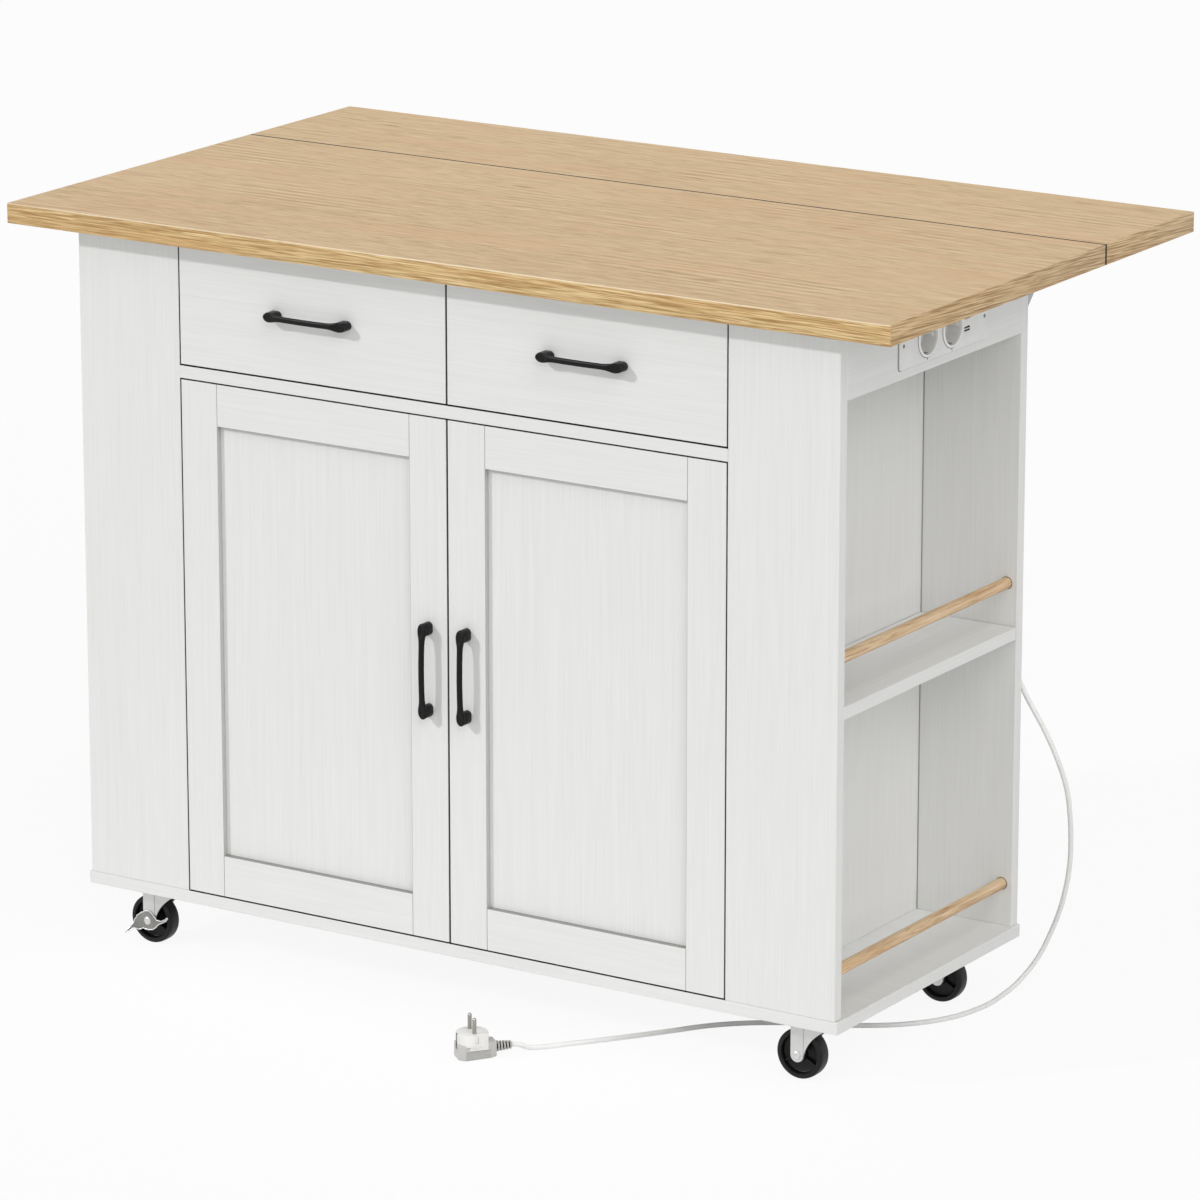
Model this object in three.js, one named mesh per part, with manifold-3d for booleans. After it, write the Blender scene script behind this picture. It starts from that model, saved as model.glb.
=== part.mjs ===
// Kitchen island on castors with a drop leaf, two drawers, two doors, open bays at both ends
// and a socket strip in the right-hand apron. Millimetres, +Z up, front towards -Y.
// Origin: the middle of the closed outline, on the floor.

import * as THREE from 'three';
import { mergeVertices } from 'three/addons/utils/BufferGeometryUtils.js';
import Module from 'manifold-3d';

const wasm = await Module();
wasm.setup();

// ---------------------------------------------------------------- driving dimensions

// Worktop and drop leaf
const topLength = 1200;
const topDepth = 490;
const topThick = 24;
const seamGap = 2;
const leafDepth = 215.5;
const frontOverhang = 31.8;
const endOverhang = 80;

// Carcass. Its back stands off the seam by the knuckles of the folding brackets.
const hingeStandoff = 36.2;
const carcassHeight = 794.9;
const board = 15;
const boardEase = 0.6;
const baseOverhang = 3.6;
const stileWidth = 144.3;
const dividerSetback = 1.6;
const drawerZone = 149.6;
const apronHeight = 79.7;
const bayShelfHeight = 365.5;
const innerShelfHeight = 308;
const innerShelfSetback = 20;
const seatGap = 0.3;
const partitionSetback = 1;

// Rods across the side bays
const rodRadius = 7;
const rodInset = 14;
const rodHeight = 51.3;
const rodSocketDepth = 8;

// Fronts
const reveal = 1.5;
const pairGap = 2;
const doorFrame = 51;
const doorRecess = 6.5;
const doorPanel = 5;
const jointHalf = 0.4;
const jointDepth = 0.6;

// Drawer boxes, each running on a rail in a groove
const drawerBackGap = 43;
const drawerHeight = 100;
const drawerLift = 5.6;
const drawerSide = 12;
const drawerSideGap = 2.5;
const bottomThick = 3;
const bottomLift = 10;
const bottomSeat = 6;
const railReach = 9.5;
const railHeight = 16;
const railFrontGap = 55;
const railBackGap = 8;
const railLift = 46;
const railClear = 0.4;
const grooveStop = 14;

// Pulls
const pullLength = 115;
const pullFootLength = 17;
const pullFootWidth = 11;
const pullReach = 16;
const pullBow = 3;
const pullLobe = 11.5;
const pullWaist = 7;
const pullThick = 5;
const pullEndEase = 0.4;
const pullFootEase = 0.6;
const doorPullHeight = 329.4;
const drawerPullHeight = 76.6;

// Concealed door hinges
const cupRadius = 17.2;
const cupDepth = 11.5;
const cupWall = 1.2;
const cupInset = 22.5;
const cupClear = 0.3;
const cupFlangeWidth = 30;
const cupFlangeHeight = 56;
const cupFlangeCorner = 5;
const cupLinkWidth = 12;
const cupLinkHeight = 15;
const hingeFromEnd = 90;
const hingePlateLength = 52;
const hingePlateHeight = 40;
const hingePlateThick = 2;
const hingePlateSetback = 40;
const hingeArmHeight = 16;
const hingeArmDepth = 12;
const hingeArmCrank = 12;
const hingeArmEase = 6;

// Folding brackets under the leaf
const bracketInset = 47;
const bracketWidth = 20;
const bracketSteel = 2;
const bracketFlange = 16;
const bracketEye = 4;
const leafPinRadius = 2.5;
const armLength = 150;
const armWidth = 15;
const armDrop = 16;
const armWebStart = 8;
const armTaper = 20;
const armTipHeight = 6;
const stayReach = 100;
const stayDrop = 6;
const stayThick = 4;
const stayHalf = 6;
const stayPinRadius = 3;
const rollerRadius = 4;
const rollerLength = 14;
const pinEndInset = 0.5;
const pinClear = 0.3;
const trackTail = 14;

// Castors. Each swivel axis is measured in from the carcass's front, back, left and right.
const casterHeight = 75.4;
const casterFront = 44.2;
const casterBack = 58.8;
const casterLeft = 76;
const casterRight = 52;
const casterTrail = 15;
const wheelRadius = 30;
const wheelWidth = 18;
const wheelHubWidth = 20.4;
const wheelHubRadius = 9;
const wheelRim = 6.5;
const wheelWeb = 4;
const wheelRib = 2.4;
const wheelRibHeight = 13;
const treadEase = 2.5;
const axleRadius = 3;
const axleHead = 5;
const axleHeadThick = 1.8;
const forkWidth = 26;
const forkSteel = 2.4;
const forkStrip = 1;
const forkStripHalf = 8.3;
const forkCrownReach = 24;
const forkCrownTop = 68.5;
const forkSweepReach = 5;
const forkSweepHeight = 52;
const forkRaceBase = 19;
const forkRaceTop = 15;
const forkRaceRim = 1.2;
const platePlanX = 62;
const platePlanY = 50;
const plateThick = 2.2;
const plateCorner = 5;
const leverThick = 1.6;
const leverGap = 0.3;
const leverTilt = 19;
const leverLeft = 33;
const leverRight = 36;
const leverPedal = 9;
const leverPedalLength = 16;
const leverPedalTip = 5;
const leverPedalEnd = 4;
const leverLeftDrop = 2.5;

// Socket strip
const stripFrontEdge = 125.2;
const stripLength = 200;
const stripHeight = 54.4;
const stripDrop = 41.2;
const stripThick = 2.2;
const stripCorner = 4;
const socketFirst = 63;
const socketPitch = 55.3;
const socketRadius = 19.8;
const socketDepth = 17.5;
const socketCollar = 22.6;
const socketCollarHeight = 1.6;
const usbFromFirst = 88.2;
const usbPitch = 14.2;
const usbWidth = 13;
const usbHeight = 5.6;
const usbDepth = 12;
const pinHoleRadius = 2.7;
const pinHoleDepth = 12;
const clipWidth = 5;
const clipThick = 1.2;
const clipInset = 1;
const blockDepth = 38;
const blockHeight = 46;
const blockEnd = 14;

// Mains lead, its boot on the back panel and its plug
const bootInset = 90;
const bootDrop = 58;
const bootFlange = 13;
const bootFlangeThick = 3;
const bootReach = 15.2;
const bootElbow = 7.5;
const bootLength = 34;
const bootTip = 4.6;
const cordRadius = 3;
const cordRest = 3.15;
const plugX = 97.5;
const plugY = -422.5;
const plugTurn = 50;
const plugRadius = 19;
const plugHeight = 31;
const plugShoulder = 19;
const plugEase = 1.5;
const plugNoseHalf = 9;
const plugFlank = 15.5;
const plugFlankFront = -12;
const plugFlankBack = 20;
const plugFlankEnd = 12;
const plugTail = 27;
const plugTailHalf = 8;
const plugCheek = 16.4;
const plugCheekFront = -6;
const plugCheekBack = 15;
const plugCheekFoot = 12;
const plugGrooveWidth = 5;
const plugGrooveDepth = 2;
const plugGrooveHeight = 9.5;
const plugEarthWidth = 6;
const plugEarthDepth = 1.4;
const plugEarthHeight = 20;
const plugPinRadius = 2.4;
const plugPinLength = 19;
const plugPinPitch = 19;
const plugPinEase = 1.3;
const reliefLength = 20;
const reliefRadius = 6.6;
const reliefTaper = 0.3;
const reliefGroove = 1.7;
const reliefRibs = 5;
const reliefHeight = 10;

// Facets round a full turn
const fineSides = 18;
const plainSides = 14;
const smallSides = 10;

// How far a cutting form runs past a face, and a joined one runs into its neighbour
const over = 1;

// ---------------------------------------------------------------- levels and faces

const topEdge = -(topDepth + seamGap + leafDepth) / 2;
const seam = topEdge + topDepth + seamGap / 2;
const halfCarcass = topLength / 2 - endOverhang;
const carcassFront = topEdge + frontOverhang;
const carcassBack = seam - hingeStandoff;
const insideFront = carcassFront + board;
const insideBack = carcassBack - board;
const floorTop = casterHeight + board;
const underTop = floorTop + carcassHeight;
const deckTop = underTop - drawerZone;
const stileEdge = halfCarcass - stileWidth;
const dividerInner = stileEdge + dividerSetback;
const dividerOuter = dividerInner + board;
const bayShelfTop = floorTop + bayShelfHeight;
const stripCentre = underTop - stripDrop;

// ---------------------------------------------------------------- materials

const finish = (color, roughness, metalness = 0) =>
  new THREE.MeshStandardMaterial({ color, roughness, metalness });

const oak = finish(0xcdb38b, 0.55);
const laminate = finish(0xe6e6e4, 0.6);
const carcassWhite = finish(0xdcdcda, 0.65);
const hardboard = finish(0xd8d6d0, 0.7);
const beech = finish(0xd9bb90, 0.6);
const blackPull = finish(0x161616, 0.35);
const blackNylon = finish(0x1b1b1b, 0.5);
const zinc = finish(0xb9babb, 0.35, 0.9);
const nickel = finish(0xc4c4c2, 0.28, 0.95);
const socketWhite = finish(0xe9e9e7, 0.4);
const socketGrey = finish(0x9b9993, 0.5);
const leadWhite = finish(0xd9d9d6, 0.5);

// ---------------------------------------------------------------- shapes and joining

const island = new THREE.Group();

function piece(name, geometry, material) {
  const mesh = new THREE.Mesh(geometry, material.clone());
  mesh.name = name;
  island.add(mesh);
  return mesh;
}

function toSolid(geometry) {
  const bare = geometry.clone();
  bare.deleteAttribute('normal');
  bare.deleteAttribute('uv');
  const merged = mergeVertices(bare, 1e-4);
  const mesh = new wasm.Mesh({
    numProp: 3,
    vertProperties: new Float32Array(merged.attributes.position.array),
    triVerts: new Uint32Array(merged.index.array),
  });
  return new wasm.Manifold(mesh);
}

function toGeometry(solid) {
  const mesh = solid.getMesh();
  const geometry = new THREE.BufferGeometry();
  geometry.setAttribute('position', new THREE.BufferAttribute(mesh.vertProperties, 3));
  geometry.setIndex(new THREE.BufferAttribute(mesh.triVerts, 1));
  geometry.computeVertexNormals();
  return geometry;
}

const join = (...parts) => toGeometry(parts.map(toSolid).reduce((a, b) => a.add(b)));

function cut(body, ...tools) {
  return toGeometry(tools.map(toSolid).reduce((a, b) => a.subtract(b), toSolid(body)));
}

function block([x0, x1], [y0, y1], [z0, z1]) {
  const geometry = new THREE.BoxGeometry(x1 - x0, y1 - y0, z1 - z0);
  return geometry.translate((x0 + x1) / 2, (y0 + y1) / 2, (z0 + z1) / 2);
}

// A board with its edges eased by a small chamfer.
function panel([x0, x1], [y0, y1], [z0, z1]) {
  const e = boardEase;
  const outline = new THREE.Shape([
    [x0 + e, y0], [x1 - e, y0], [x1, y0 + e], [x1, y1 - e],
    [x1 - e, y1], [x0 + e, y1], [x0, y1 - e], [x0, y0 + e],
  ].map(([x, y]) => new THREE.Vector2(x, y)));
  const geometry = new THREE.ExtrudeGeometry(outline, {
    depth: z1 - z0 - 2 * e,
    bevelEnabled: true,
    bevelThickness: e,
    bevelSize: e,
    bevelOffset: -e,
    bevelSegments: 1,
  });
  return geometry.translate(0, 0, z0 + e);
}

const polygon = (points) => new THREE.Shape(points.map(([a, b]) => new THREE.Vector2(a, b)));

function roundedRect(a0, a1, b0, b1, r) {
  const shape = new THREE.Shape();
  shape.moveTo(a0 + r, b0);
  shape.lineTo(a1 - r, b0);
  shape.absarc(a1 - r, b0 + r, r, -Math.PI / 2, 0);
  shape.lineTo(a1, b1 - r);
  shape.absarc(a1 - r, b1 - r, r, 0, Math.PI / 2);
  shape.lineTo(a0 + r, b1);
  shape.absarc(a0 + r, b1 - r, r, Math.PI / 2, Math.PI);
  shape.lineTo(a0, b0 + r);
  shape.absarc(a0 + r, b0 + r, r, Math.PI, 1.5 * Math.PI);
  return shape;
}

const extrude = (shape, depth, curveSegments = 5) =>
  new THREE.ExtrudeGeometry(shape, { depth, bevelEnabled: false, curveSegments });

// Outlines drawn in the plan (x, y), the side view (y, z) and the front view (x, z).
const alongZ = (shape, [z0, z1], steps) => extrude(shape, z1 - z0, steps).translate(0, 0, z0);
const alongX = (shape, [x0, x1], steps) =>
  extrude(shape, x1 - x0, steps).rotateX(Math.PI / 2).rotateZ(Math.PI / 2).translate(x0, 0, 0);
const alongY = (shape, [y0, y1], steps) =>
  extrude(shape, y1 - y0, steps).rotateX(Math.PI / 2).translate(0, y1, 0);

const TURN = { x: [0, 0, -Math.PI / 2], y: [0, 0, 0], z: [Math.PI / 2, 0, 0] };

// A turned piece: profile points are (radius, distance along the axis).
function turned(profile, axis, [x, y, z], sides = fineSides) {
  const points = profile.map(([r, h]) => new THREE.Vector2(r, h));
  const geometry = new THREE.LatheGeometry(points, sides);
  const [rx, ry, rz] = TURN[axis];
  return geometry.rotateX(rx).rotateY(ry).rotateZ(rz).translate(x, y, z);
}

const rod = (radius, [a0, a1], axis, place, sides) =>
  turned([[0, a0], [radius, a0], [radius, a1], [0, a1]], axis, place, sides);

const mirrorX = (geometry) => {
  const mirrored = geometry.clone().scale(-1, 1, 1);
  const index = mirrored.index;
  for (let i = 0; i < index.count; i += 3) {
    const first = index.getX(i);
    index.setX(i, index.getX(i + 1));
    index.setX(i + 1, first);
  }
  return mirrored;
};

const SIDES = [['left', -1], ['right', 1]];
const span = (a, b) => [Math.min(a, b), Math.max(a, b)];

// ---------------------------------------------------------------- worktop and leaf

piece('worktop', panel([-topLength / 2, topLength / 2], [topEdge, topEdge + topDepth],
  [underTop, underTop + topThick]), oak);
piece('drop_leaf', panel([-topLength / 2, topLength / 2],
  [seam + seamGap / 2, seam + seamGap / 2 + leafDepth], [underTop, underTop + topThick]), oak);

// ---------------------------------------------------------------- carcass boards

const rodX = halfCarcass - rodInset;
const rodLevels = [['lower', floorTop + rodHeight], ['upper', bayShelfTop + rodHeight]];

// The four castors: name, swivel axis in plan, and whether it has a brake.
const casterSpots = [
  ['front_left', casterLeft - halfCarcass, carcassFront + casterFront, true],
  ['front_right', halfCarcass - casterRight, carcassFront + casterFront, false],
  ['rear_left', casterLeft - halfCarcass, carcassBack - casterBack, true],
  ['rear_right', halfCarcass - casterRight, carcassBack - casterBack, false],
];

const casterPlate = ([, x, y]) => alongZ(
  roundedRect(x - platePlanX / 2, x + platePlanX / 2, y - platePlanY / 2, y + platePlanY / 2,
    plateCorner), [casterHeight - plateThick, casterHeight + over], 1);
const halfBase = halfCarcass + baseOverhang;
piece('base_board', join(
  panel([-halfBase, halfBase], [carcassFront, carcassBack], [casterHeight, floorTop]),
  ...casterSpots.map(casterPlate)), laminate);

const bootX = halfCarcass - bootInset;
const cordHole = rod(bootElbow - over, [insideBack - over, carcassBack + over], 'y',
  [bootX, 0, underTop - bootDrop], smallSides);

// Blind sockets for the rod ends, bored into the board that each rod end enters.
const rodSockets = (sides, from, to) => sides.flatMap(([, s]) => rodLevels.map(([, z]) =>
  rod(rodRadius + seatGap, [from, to], 'y', [s * rodX, 0, z], plainSides)));

piece('back_panel', cut(panel([-halfCarcass, halfCarcass], [insideBack, carcassBack],
  [floorTop, underTop]), cordHole,
  ...rodSockets(SIDES, insideBack - over, insideBack + rodSocketDepth)), laminate);

const railTop = deckTop + railLift + railHeight;
const railY = [insideFront + railFrontGap, insideBack - railBackGap];
const drawerRail = (face, s) => block(span(face - s * over, face + s * railReach), railY,
  [railTop - railHeight, railTop]);

for (const [side, s] of SIDES) {
  piece(`front_stile_${side}`, cut(panel(span(s * stileEdge, s * halfCarcass),
    [carcassFront, insideFront], [floorTop, underTop]),
  ...rodSockets([[side, s]], insideFront - rodSocketDepth, insideFront + over)), laminate);

  piece(`divider_${side}`, join(panel(span(s * dividerInner, s * dividerOuter),
    [insideFront, insideBack], [floorTop, underTop]),
  drawerRail(s * dividerInner, -s)), carcassWhite);

  piece(`bay_shelf_${side}`, panel(span(s * dividerOuter, s * halfCarcass),
    [insideFront, insideBack], [bayShelfTop - board, bayShelfTop]), laminate);

  for (const [level, z] of rodLevels) {
    piece(`bay_rod_${level}_${side}`, rod(rodRadius,
      [insideFront - rodSocketDepth + seatGap, insideBack + rodSocketDepth - seatGap],
      'y', [s * rodX, 0, z], plainSides), beech);
  }
}

piece('drawer_deck', alongZ(polygon([
  [-stileEdge, carcassFront], [stileEdge, carcassFront], [stileEdge, insideFront],
  [dividerInner, insideFront], [dividerInner, insideBack], [-dividerInner, insideBack],
  [-dividerInner, insideFront], [-stileEdge, insideFront],
]), [deckTop - board, deckTop]), laminate);

piece('drawer_partition', join(
  panel([-board / 2, board / 2], [insideFront + partitionSetback, insideBack], [deckTop, underTop]),
  drawerRail(board / 2, 1), drawerRail(-board / 2, -1)), carcassWhite);

const innerShelfTop = floorTop + innerShelfHeight + board;
piece('inner_shelf', panel([-dividerInner + seatGap, dividerInner - seatGap],
  [insideFront + innerShelfSetback, insideBack - seatGap],
  [innerShelfTop - board, innerShelfTop]), carcassWhite);

// ---------------------------------------------------------------- aprons and socket strip

const stripY = [carcassFront + stripFrontEdge, carcassFront + stripFrontEdge + stripLength];
const socketYs = [0, 1].map((n) => stripY[0] + socketFirst + n * socketPitch);
const usbY = socketYs[0] + usbFromFirst;
const blockY = [stripY[0] + blockEnd, stripY[1] - blockEnd];
const blockZ = [stripCentre - blockHeight / 2, stripCentre + blockHeight / 2];
const apronZ = [underTop - apronHeight, underTop];
const apronBoard = (s) => panel(span(s * (halfCarcass - board), s * halfCarcass),
  [insideFront, insideBack], apronZ);

piece('apron_left', apronBoard(-1), laminate);
piece('apron_right', cut(apronBoard(1), block([halfCarcass - board - over, halfCarcass + over],
  [blockY[0] - seatGap, blockY[1] + seatGap], [blockZ[0] - seatGap, blockZ[1] + seatGap])),
laminate);

const usbSlots = (x) => [-1, 1].map((n) => {
  const z = stripCentre + n * usbPitch / 2;
  return block(x, [usbY - usbWidth / 2, usbY + usbWidth / 2],
    [z - usbHeight / 2, z + usbHeight / 2]);
});

const stripPlate = alongX(
  roundedRect(stripY[0], stripY[1], stripCentre - stripHeight / 2, stripCentre + stripHeight / 2,
    stripCorner), [halfCarcass, halfCarcass + stripThick], 3);
const collars = socketYs.map((y) => rod(socketCollar,
  [halfCarcass + stripThick - over, halfCarcass + stripThick + socketCollarHeight], 'x',
  [0, y, stripCentre]));
const plateHoles = socketYs.map((y) => rod(socketRadius,
  [halfCarcass - over, halfCarcass + stripThick + socketCollarHeight + over], 'x',
  [0, y, stripCentre]));
piece('power_plate', cut(join(stripPlate, ...collars), ...plateHoles,
  ...usbSlots([halfCarcass - over, halfCarcass + stripThick + over])), socketWhite);

// Each cup has two pin holes in its floor and an earth clip on its upper and lower wall.
const cupFloor = halfCarcass - socketDepth;
const cups = socketYs.map((y) => rod(socketRadius, [cupFloor, halfCarcass + over], 'x',
  [0, y, stripCentre]));
const pinHoles = socketYs.flatMap((y) => [-1, 1].map((s) => rod(pinHoleRadius,
  [cupFloor - pinHoleDepth, cupFloor + over], 'x', [0, y + s * plugPinPitch / 2, stripCentre],
  8)));
const earthClips = socketYs.flatMap((y) => [-1, 1].map((s) => block(
  [cupFloor - over, halfCarcass - seatGap - clipInset], [y - clipWidth / 2, y + clipWidth / 2],
  span(stripCentre + s * (socketRadius - clipThick), stripCentre + s * (socketRadius + over)))));
piece('socket_block', join(cut(
  block([halfCarcass - seatGap - blockDepth, halfCarcass - seatGap], blockY, blockZ), ...cups,
  ...pinHoles, ...usbSlots([halfCarcass - usbDepth, halfCarcass + over])), ...earthClips),
socketGrey);

// ---------------------------------------------------------------- pulls

// A bar lofted through oval sections: (along, reach, half width, half thickness).
function loftedBar(stations, sides = 8) {
  const positions = [];
  const index = [];
  stations.forEach(([along, reach, halfWidth, halfThick]) => {
    for (let i = 0; i < sides; i += 1) {
      const a = (2 * Math.PI * i) / sides;
      positions.push(along, -reach - halfThick * Math.sin(a), halfWidth * Math.cos(a));
    }
  });
  const last = stations.length - 1;
  const ends = [positions.length / 3, positions.length / 3 + 1];
  positions.push(stations[0][0], -stations[0][1], 0, stations[last][0], -stations[last][1], 0);
  for (let i = 0; i < sides; i += 1) {
    const j = (i + 1) % sides;
    for (let k = 0; k < last; k += 1) {
      const [a, b, c, d] = [k * sides + i, k * sides + j, (k + 1) * sides + j, (k + 1) * sides + i];
      index.push(a, b, c, a, c, d);
    }
    index.push(ends[0], j, i, ends[1], last * sides + i, last * sides + j);
  }
  const geometry = new THREE.BufferGeometry();
  geometry.setAttribute('position', new THREE.Float32BufferAttribute(positions, 3));
  geometry.setIndex(index);
  return geometry;
}

// A pull lying along X, its feet on the plane y = 0, bowed towards -Y.
const halfPull = pullLength / 2;
const lobeMiddle = halfPull - pullFootLength / 2;
const pullCentre = pullReach - pullThick / 2;
const pullSteps = 6;
const pullStations = [];
for (let i = -pullSteps; i <= pullSteps; i += 1) {
  const t = i / pullSteps;
  const along = Math.sign(t) * (halfPull * (1 - (1 - Math.abs(t)) ** 1.6) - pullEndEase);
  const fromLobe = Math.abs(Math.abs(along) - lobeMiddle) / (pullFootLength / 2);
  const inside = Math.abs(along) < lobeMiddle;
  const lobe = inside ? Math.exp(-0.9 * fromLobe ** 2) : Math.sqrt(1 - Math.min(fromLobe, 0.9) ** 2);
  const half = inside ? pullWaist + (pullLobe - pullWaist) * lobe : pullLobe * lobe;
  const bow = pullBow * (1 - (along / halfPull) ** 2);
  const thick = inside ? pullThick : Math.max(pullThick * lobe, 1);
  pullStations.push([along, pullCentre + bow, half / 2, thick / 2]);
}
const pullFoot = (s) => alongY(roundedRect(
  s * lobeMiddle - pullFootLength / 2 + pullFootEase,
  s * lobeMiddle + pullFootLength / 2 - pullFootEase,
  -pullFootWidth / 2, pullFootWidth / 2, (pullFootWidth - pullFootEase) / 2), [-pullCentre, 0], 2);
const pullGeometry = join(loftedBar(pullStations), pullFoot(-1), pullFoot(1));

function pull(name, x, z, upright) {
  const mesh = piece(name, pullGeometry.clone(), blackPull);
  mesh.rotation.y = upright ? Math.PI / 2 : 0;
  mesh.position.set(x, carcassFront, z);
}

// ---------------------------------------------------------------- drawers

const frontInner = pairGap / 2;
const frontOuter = stileEdge - reveal;
const drawerFrontZ = [deckTop + reveal, underTop - reveal];
const boxY = [insideFront, insideBack - drawerBackGap];
const boxX = [board / 2 + drawerSideGap, dividerInner - drawerSideGap];
const boxZ = [deckTop + drawerLift, deckTop + drawerLift + drawerHeight];
const wellX = [boxX[0] + drawerSide, boxX[1] - drawerSide];
const bottomZ = [boxZ[0] + bottomLift, boxZ[0] + bottomLift + bottomThick];
const bottomX = [wellX[0] - bottomSeat, wellX[1] + bottomSeat];
const bottomY = [boxY[0] - bottomSeat, boxY[1] - drawerSide + bottomSeat];
const grow = ([a, b], gap) => [a - gap, b + gap];
const grooveY = [boxY[0] + grooveStop, boxY[1] + over];
const grooveZ = [railTop - railHeight - railClear, railTop + railClear];
const grooveDepth = railReach - drawerSideGap + railClear;

for (const [side, s] of SIDES) {
  const place = ([a, b]) => span(s * a, s * b);
  const bottomCut = block(place(grow(bottomX, seatGap)), grow(bottomY, seatGap),
    grow(bottomZ, seatGap));
  piece(`drawer_front_${side}`, cut(panel(place([frontInner, frontOuter]),
    [carcassFront, insideFront], drawerFrontZ), bottomCut), laminate);
  piece(`drawer_box_${side}`, cut(
    block(place(boxX), boxY, boxZ),
    block(place(wellX), [boxY[0] - over, boxY[1] - drawerSide], grow(boxZ, over)),
    bottomCut,
    block(place([boxX[0] - over, boxX[0] + grooveDepth]), grooveY, grooveZ),
    block(place([boxX[1] - grooveDepth, boxX[1] + over]), grooveY, grooveZ)), carcassWhite);
  piece(`drawer_bottom_${side}`, block(place(bottomX), bottomY, bottomZ), hardboard);
  pull(`drawer_pull_${side}`, s * (frontInner + frontOuter) / 2, deckTop + drawerPullHeight, false);
}

// ---------------------------------------------------------------- doors and their hinges

const doorZ = [floorTop + reveal, deckTop - board - reveal];
const doorHinges = [['lower', doorZ[0] + hingeFromEnd], ['upper', doorZ[1] - hingeFromEnd]];
const cupX = frontOuter - cupInset;

// The V-groove that shows where a rail butts against a stile of the door frame.
const frameJoint = (x, z) => alongZ(polygon([[x - jointHalf, carcassFront - over],
  [x + jointHalf, carcassFront - over], [x + jointHalf, carcassFront],
  [x, carcassFront + jointDepth], [x - jointHalf, carcassFront]]), z);

for (const [side, s] of SIDES) {
  const place = ([a, b]) => span(s * a, s * b);
  const field = place([frontInner + doorFrame, frontOuter - doorFrame]);
  const fieldZ = [doorZ[0] + doorFrame, doorZ[1] - doorFrame];
  const bores = doorHinges.map(([, z]) => rod(cupRadius + cupClear,
    [insideFront - cupDepth - cupClear, insideFront + over], 'y', [s * cupX, 0, z], smallSides));
  const joints = field.flatMap((x) => [[doorZ[0] - over, fieldZ[0]], [fieldZ[1], doorZ[1] + over]]
    .map((z) => frameJoint(x, z)));
  piece(`door_${side}`, cut(
    panel(place([frontInner, frontOuter]), [carcassFront, insideFront], doorZ),
    block(field, [carcassFront - over, carcassFront + doorRecess], fieldZ),
    block(field, [carcassFront + doorRecess + doorPanel, insideFront + over], fieldZ),
    ...joints, ...bores), laminate);
  pull(`door_pull_${side}`, s * (frontInner + doorFrame / 2), floorTop + doorPullHeight, true);

  for (const [level, z] of doorHinges) {
    const shell = turned([[0, -cupDepth], [cupRadius, -cupDepth], [cupRadius, cupWall / 2],
      [cupRadius - cupWall, cupWall / 2], [cupRadius - cupWall, cupWall - cupDepth],
      [0, cupWall - cupDepth]], 'y', [s * cupX, insideFront, z], smallSides);
    const ears = roundedRect(s * cupX - cupFlangeWidth / 2, s * cupX + cupFlangeWidth / 2,
      z - cupFlangeHeight / 2, z + cupFlangeHeight / 2, cupFlangeCorner);
    const mouth = rod(cupRadius - cupWall, [insideFront - over, insideFront + cupWall + over],
      'y', [s * cupX, 0, z], smallSides);
    const flange = cut(alongY(ears, [insideFront, insideFront + cupWall], 2), mouth);
    const link = block([s * cupX - cupLinkWidth / 2, s * cupX + cupLinkWidth / 2],
      [insideFront - cupDepth + cupWall / 2, insideFront + cupWall],
      [z - cupLinkHeight / 2, z + cupLinkHeight / 2]);
    piece(`hinge_cup_${level}_${side}`, join(shell, flange, link), nickel);

    const armFront = insideFront + cupWall + seatGap;
    const plateFront = insideFront + hingePlateSetback;
    const plateFace = dividerInner - hingePlateThick;
    const armBack = plateFront + hingePlateLength - hingeArmEase;
    const armOutline = polygon([
      [cupX + cupLinkWidth / 2, armFront], [cupX + cupLinkWidth / 2, armFront + hingeArmCrank],
      [plateFace + over, plateFront - hingeArmEase], [plateFace + over, armBack],
      [plateFace - hingeArmDepth, armBack], [plateFace - hingeArmDepth, plateFront],
      [cupX - cupLinkWidth / 2, armFront + hingeArmCrank], [cupX - cupLinkWidth / 2, armFront],
    ]);
    const hook = alongZ(armOutline, [z - hingeArmHeight / 2, z + hingeArmHeight / 2]);
    const plate = block([plateFace, dividerInner],
      [plateFront, plateFront + hingePlateLength],
      [z - hingePlateHeight / 2, z + hingePlateHeight / 2]);
    const arm = join(hook, plate);
    piece(`hinge_arm_${level}_${side}`, s > 0 ? arm : mirrorX(arm), nickel);
  }
}

// ---------------------------------------------------------------- folding brackets

// Pivot of the leaf, the stay's pin on the arm and its roller in the wall track.
const pivotY = seam;
const pivotZ = underTop - bracketEye - seatGap;
const stayPin = [pivotY + stayReach, pivotZ - stayDrop];
const rollerY = carcassBack + bracketSteel + seatGap + rollerRadius;
const stayRun = stayPin[0] - rollerY;
const stayLength = stayRun * Math.SQRT2;
const foldedPinY = pivotY - stayDrop;
const foldedPinZ = pivotZ - stayReach;
const foldedTilt = Math.acos((foldedPinY - rollerY) / stayLength);
const foldedRollerZ = foldedPinZ - stayLength * Math.sin(foldedTilt);
const trackBottom = foldedRollerZ - trackTail;

function eyeOutline(centre, radius, from, to) {
  const shape = new THREE.Shape();
  shape.absarc(centre[0], centre[1], radius, from, to, false);
  return shape;
}

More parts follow.
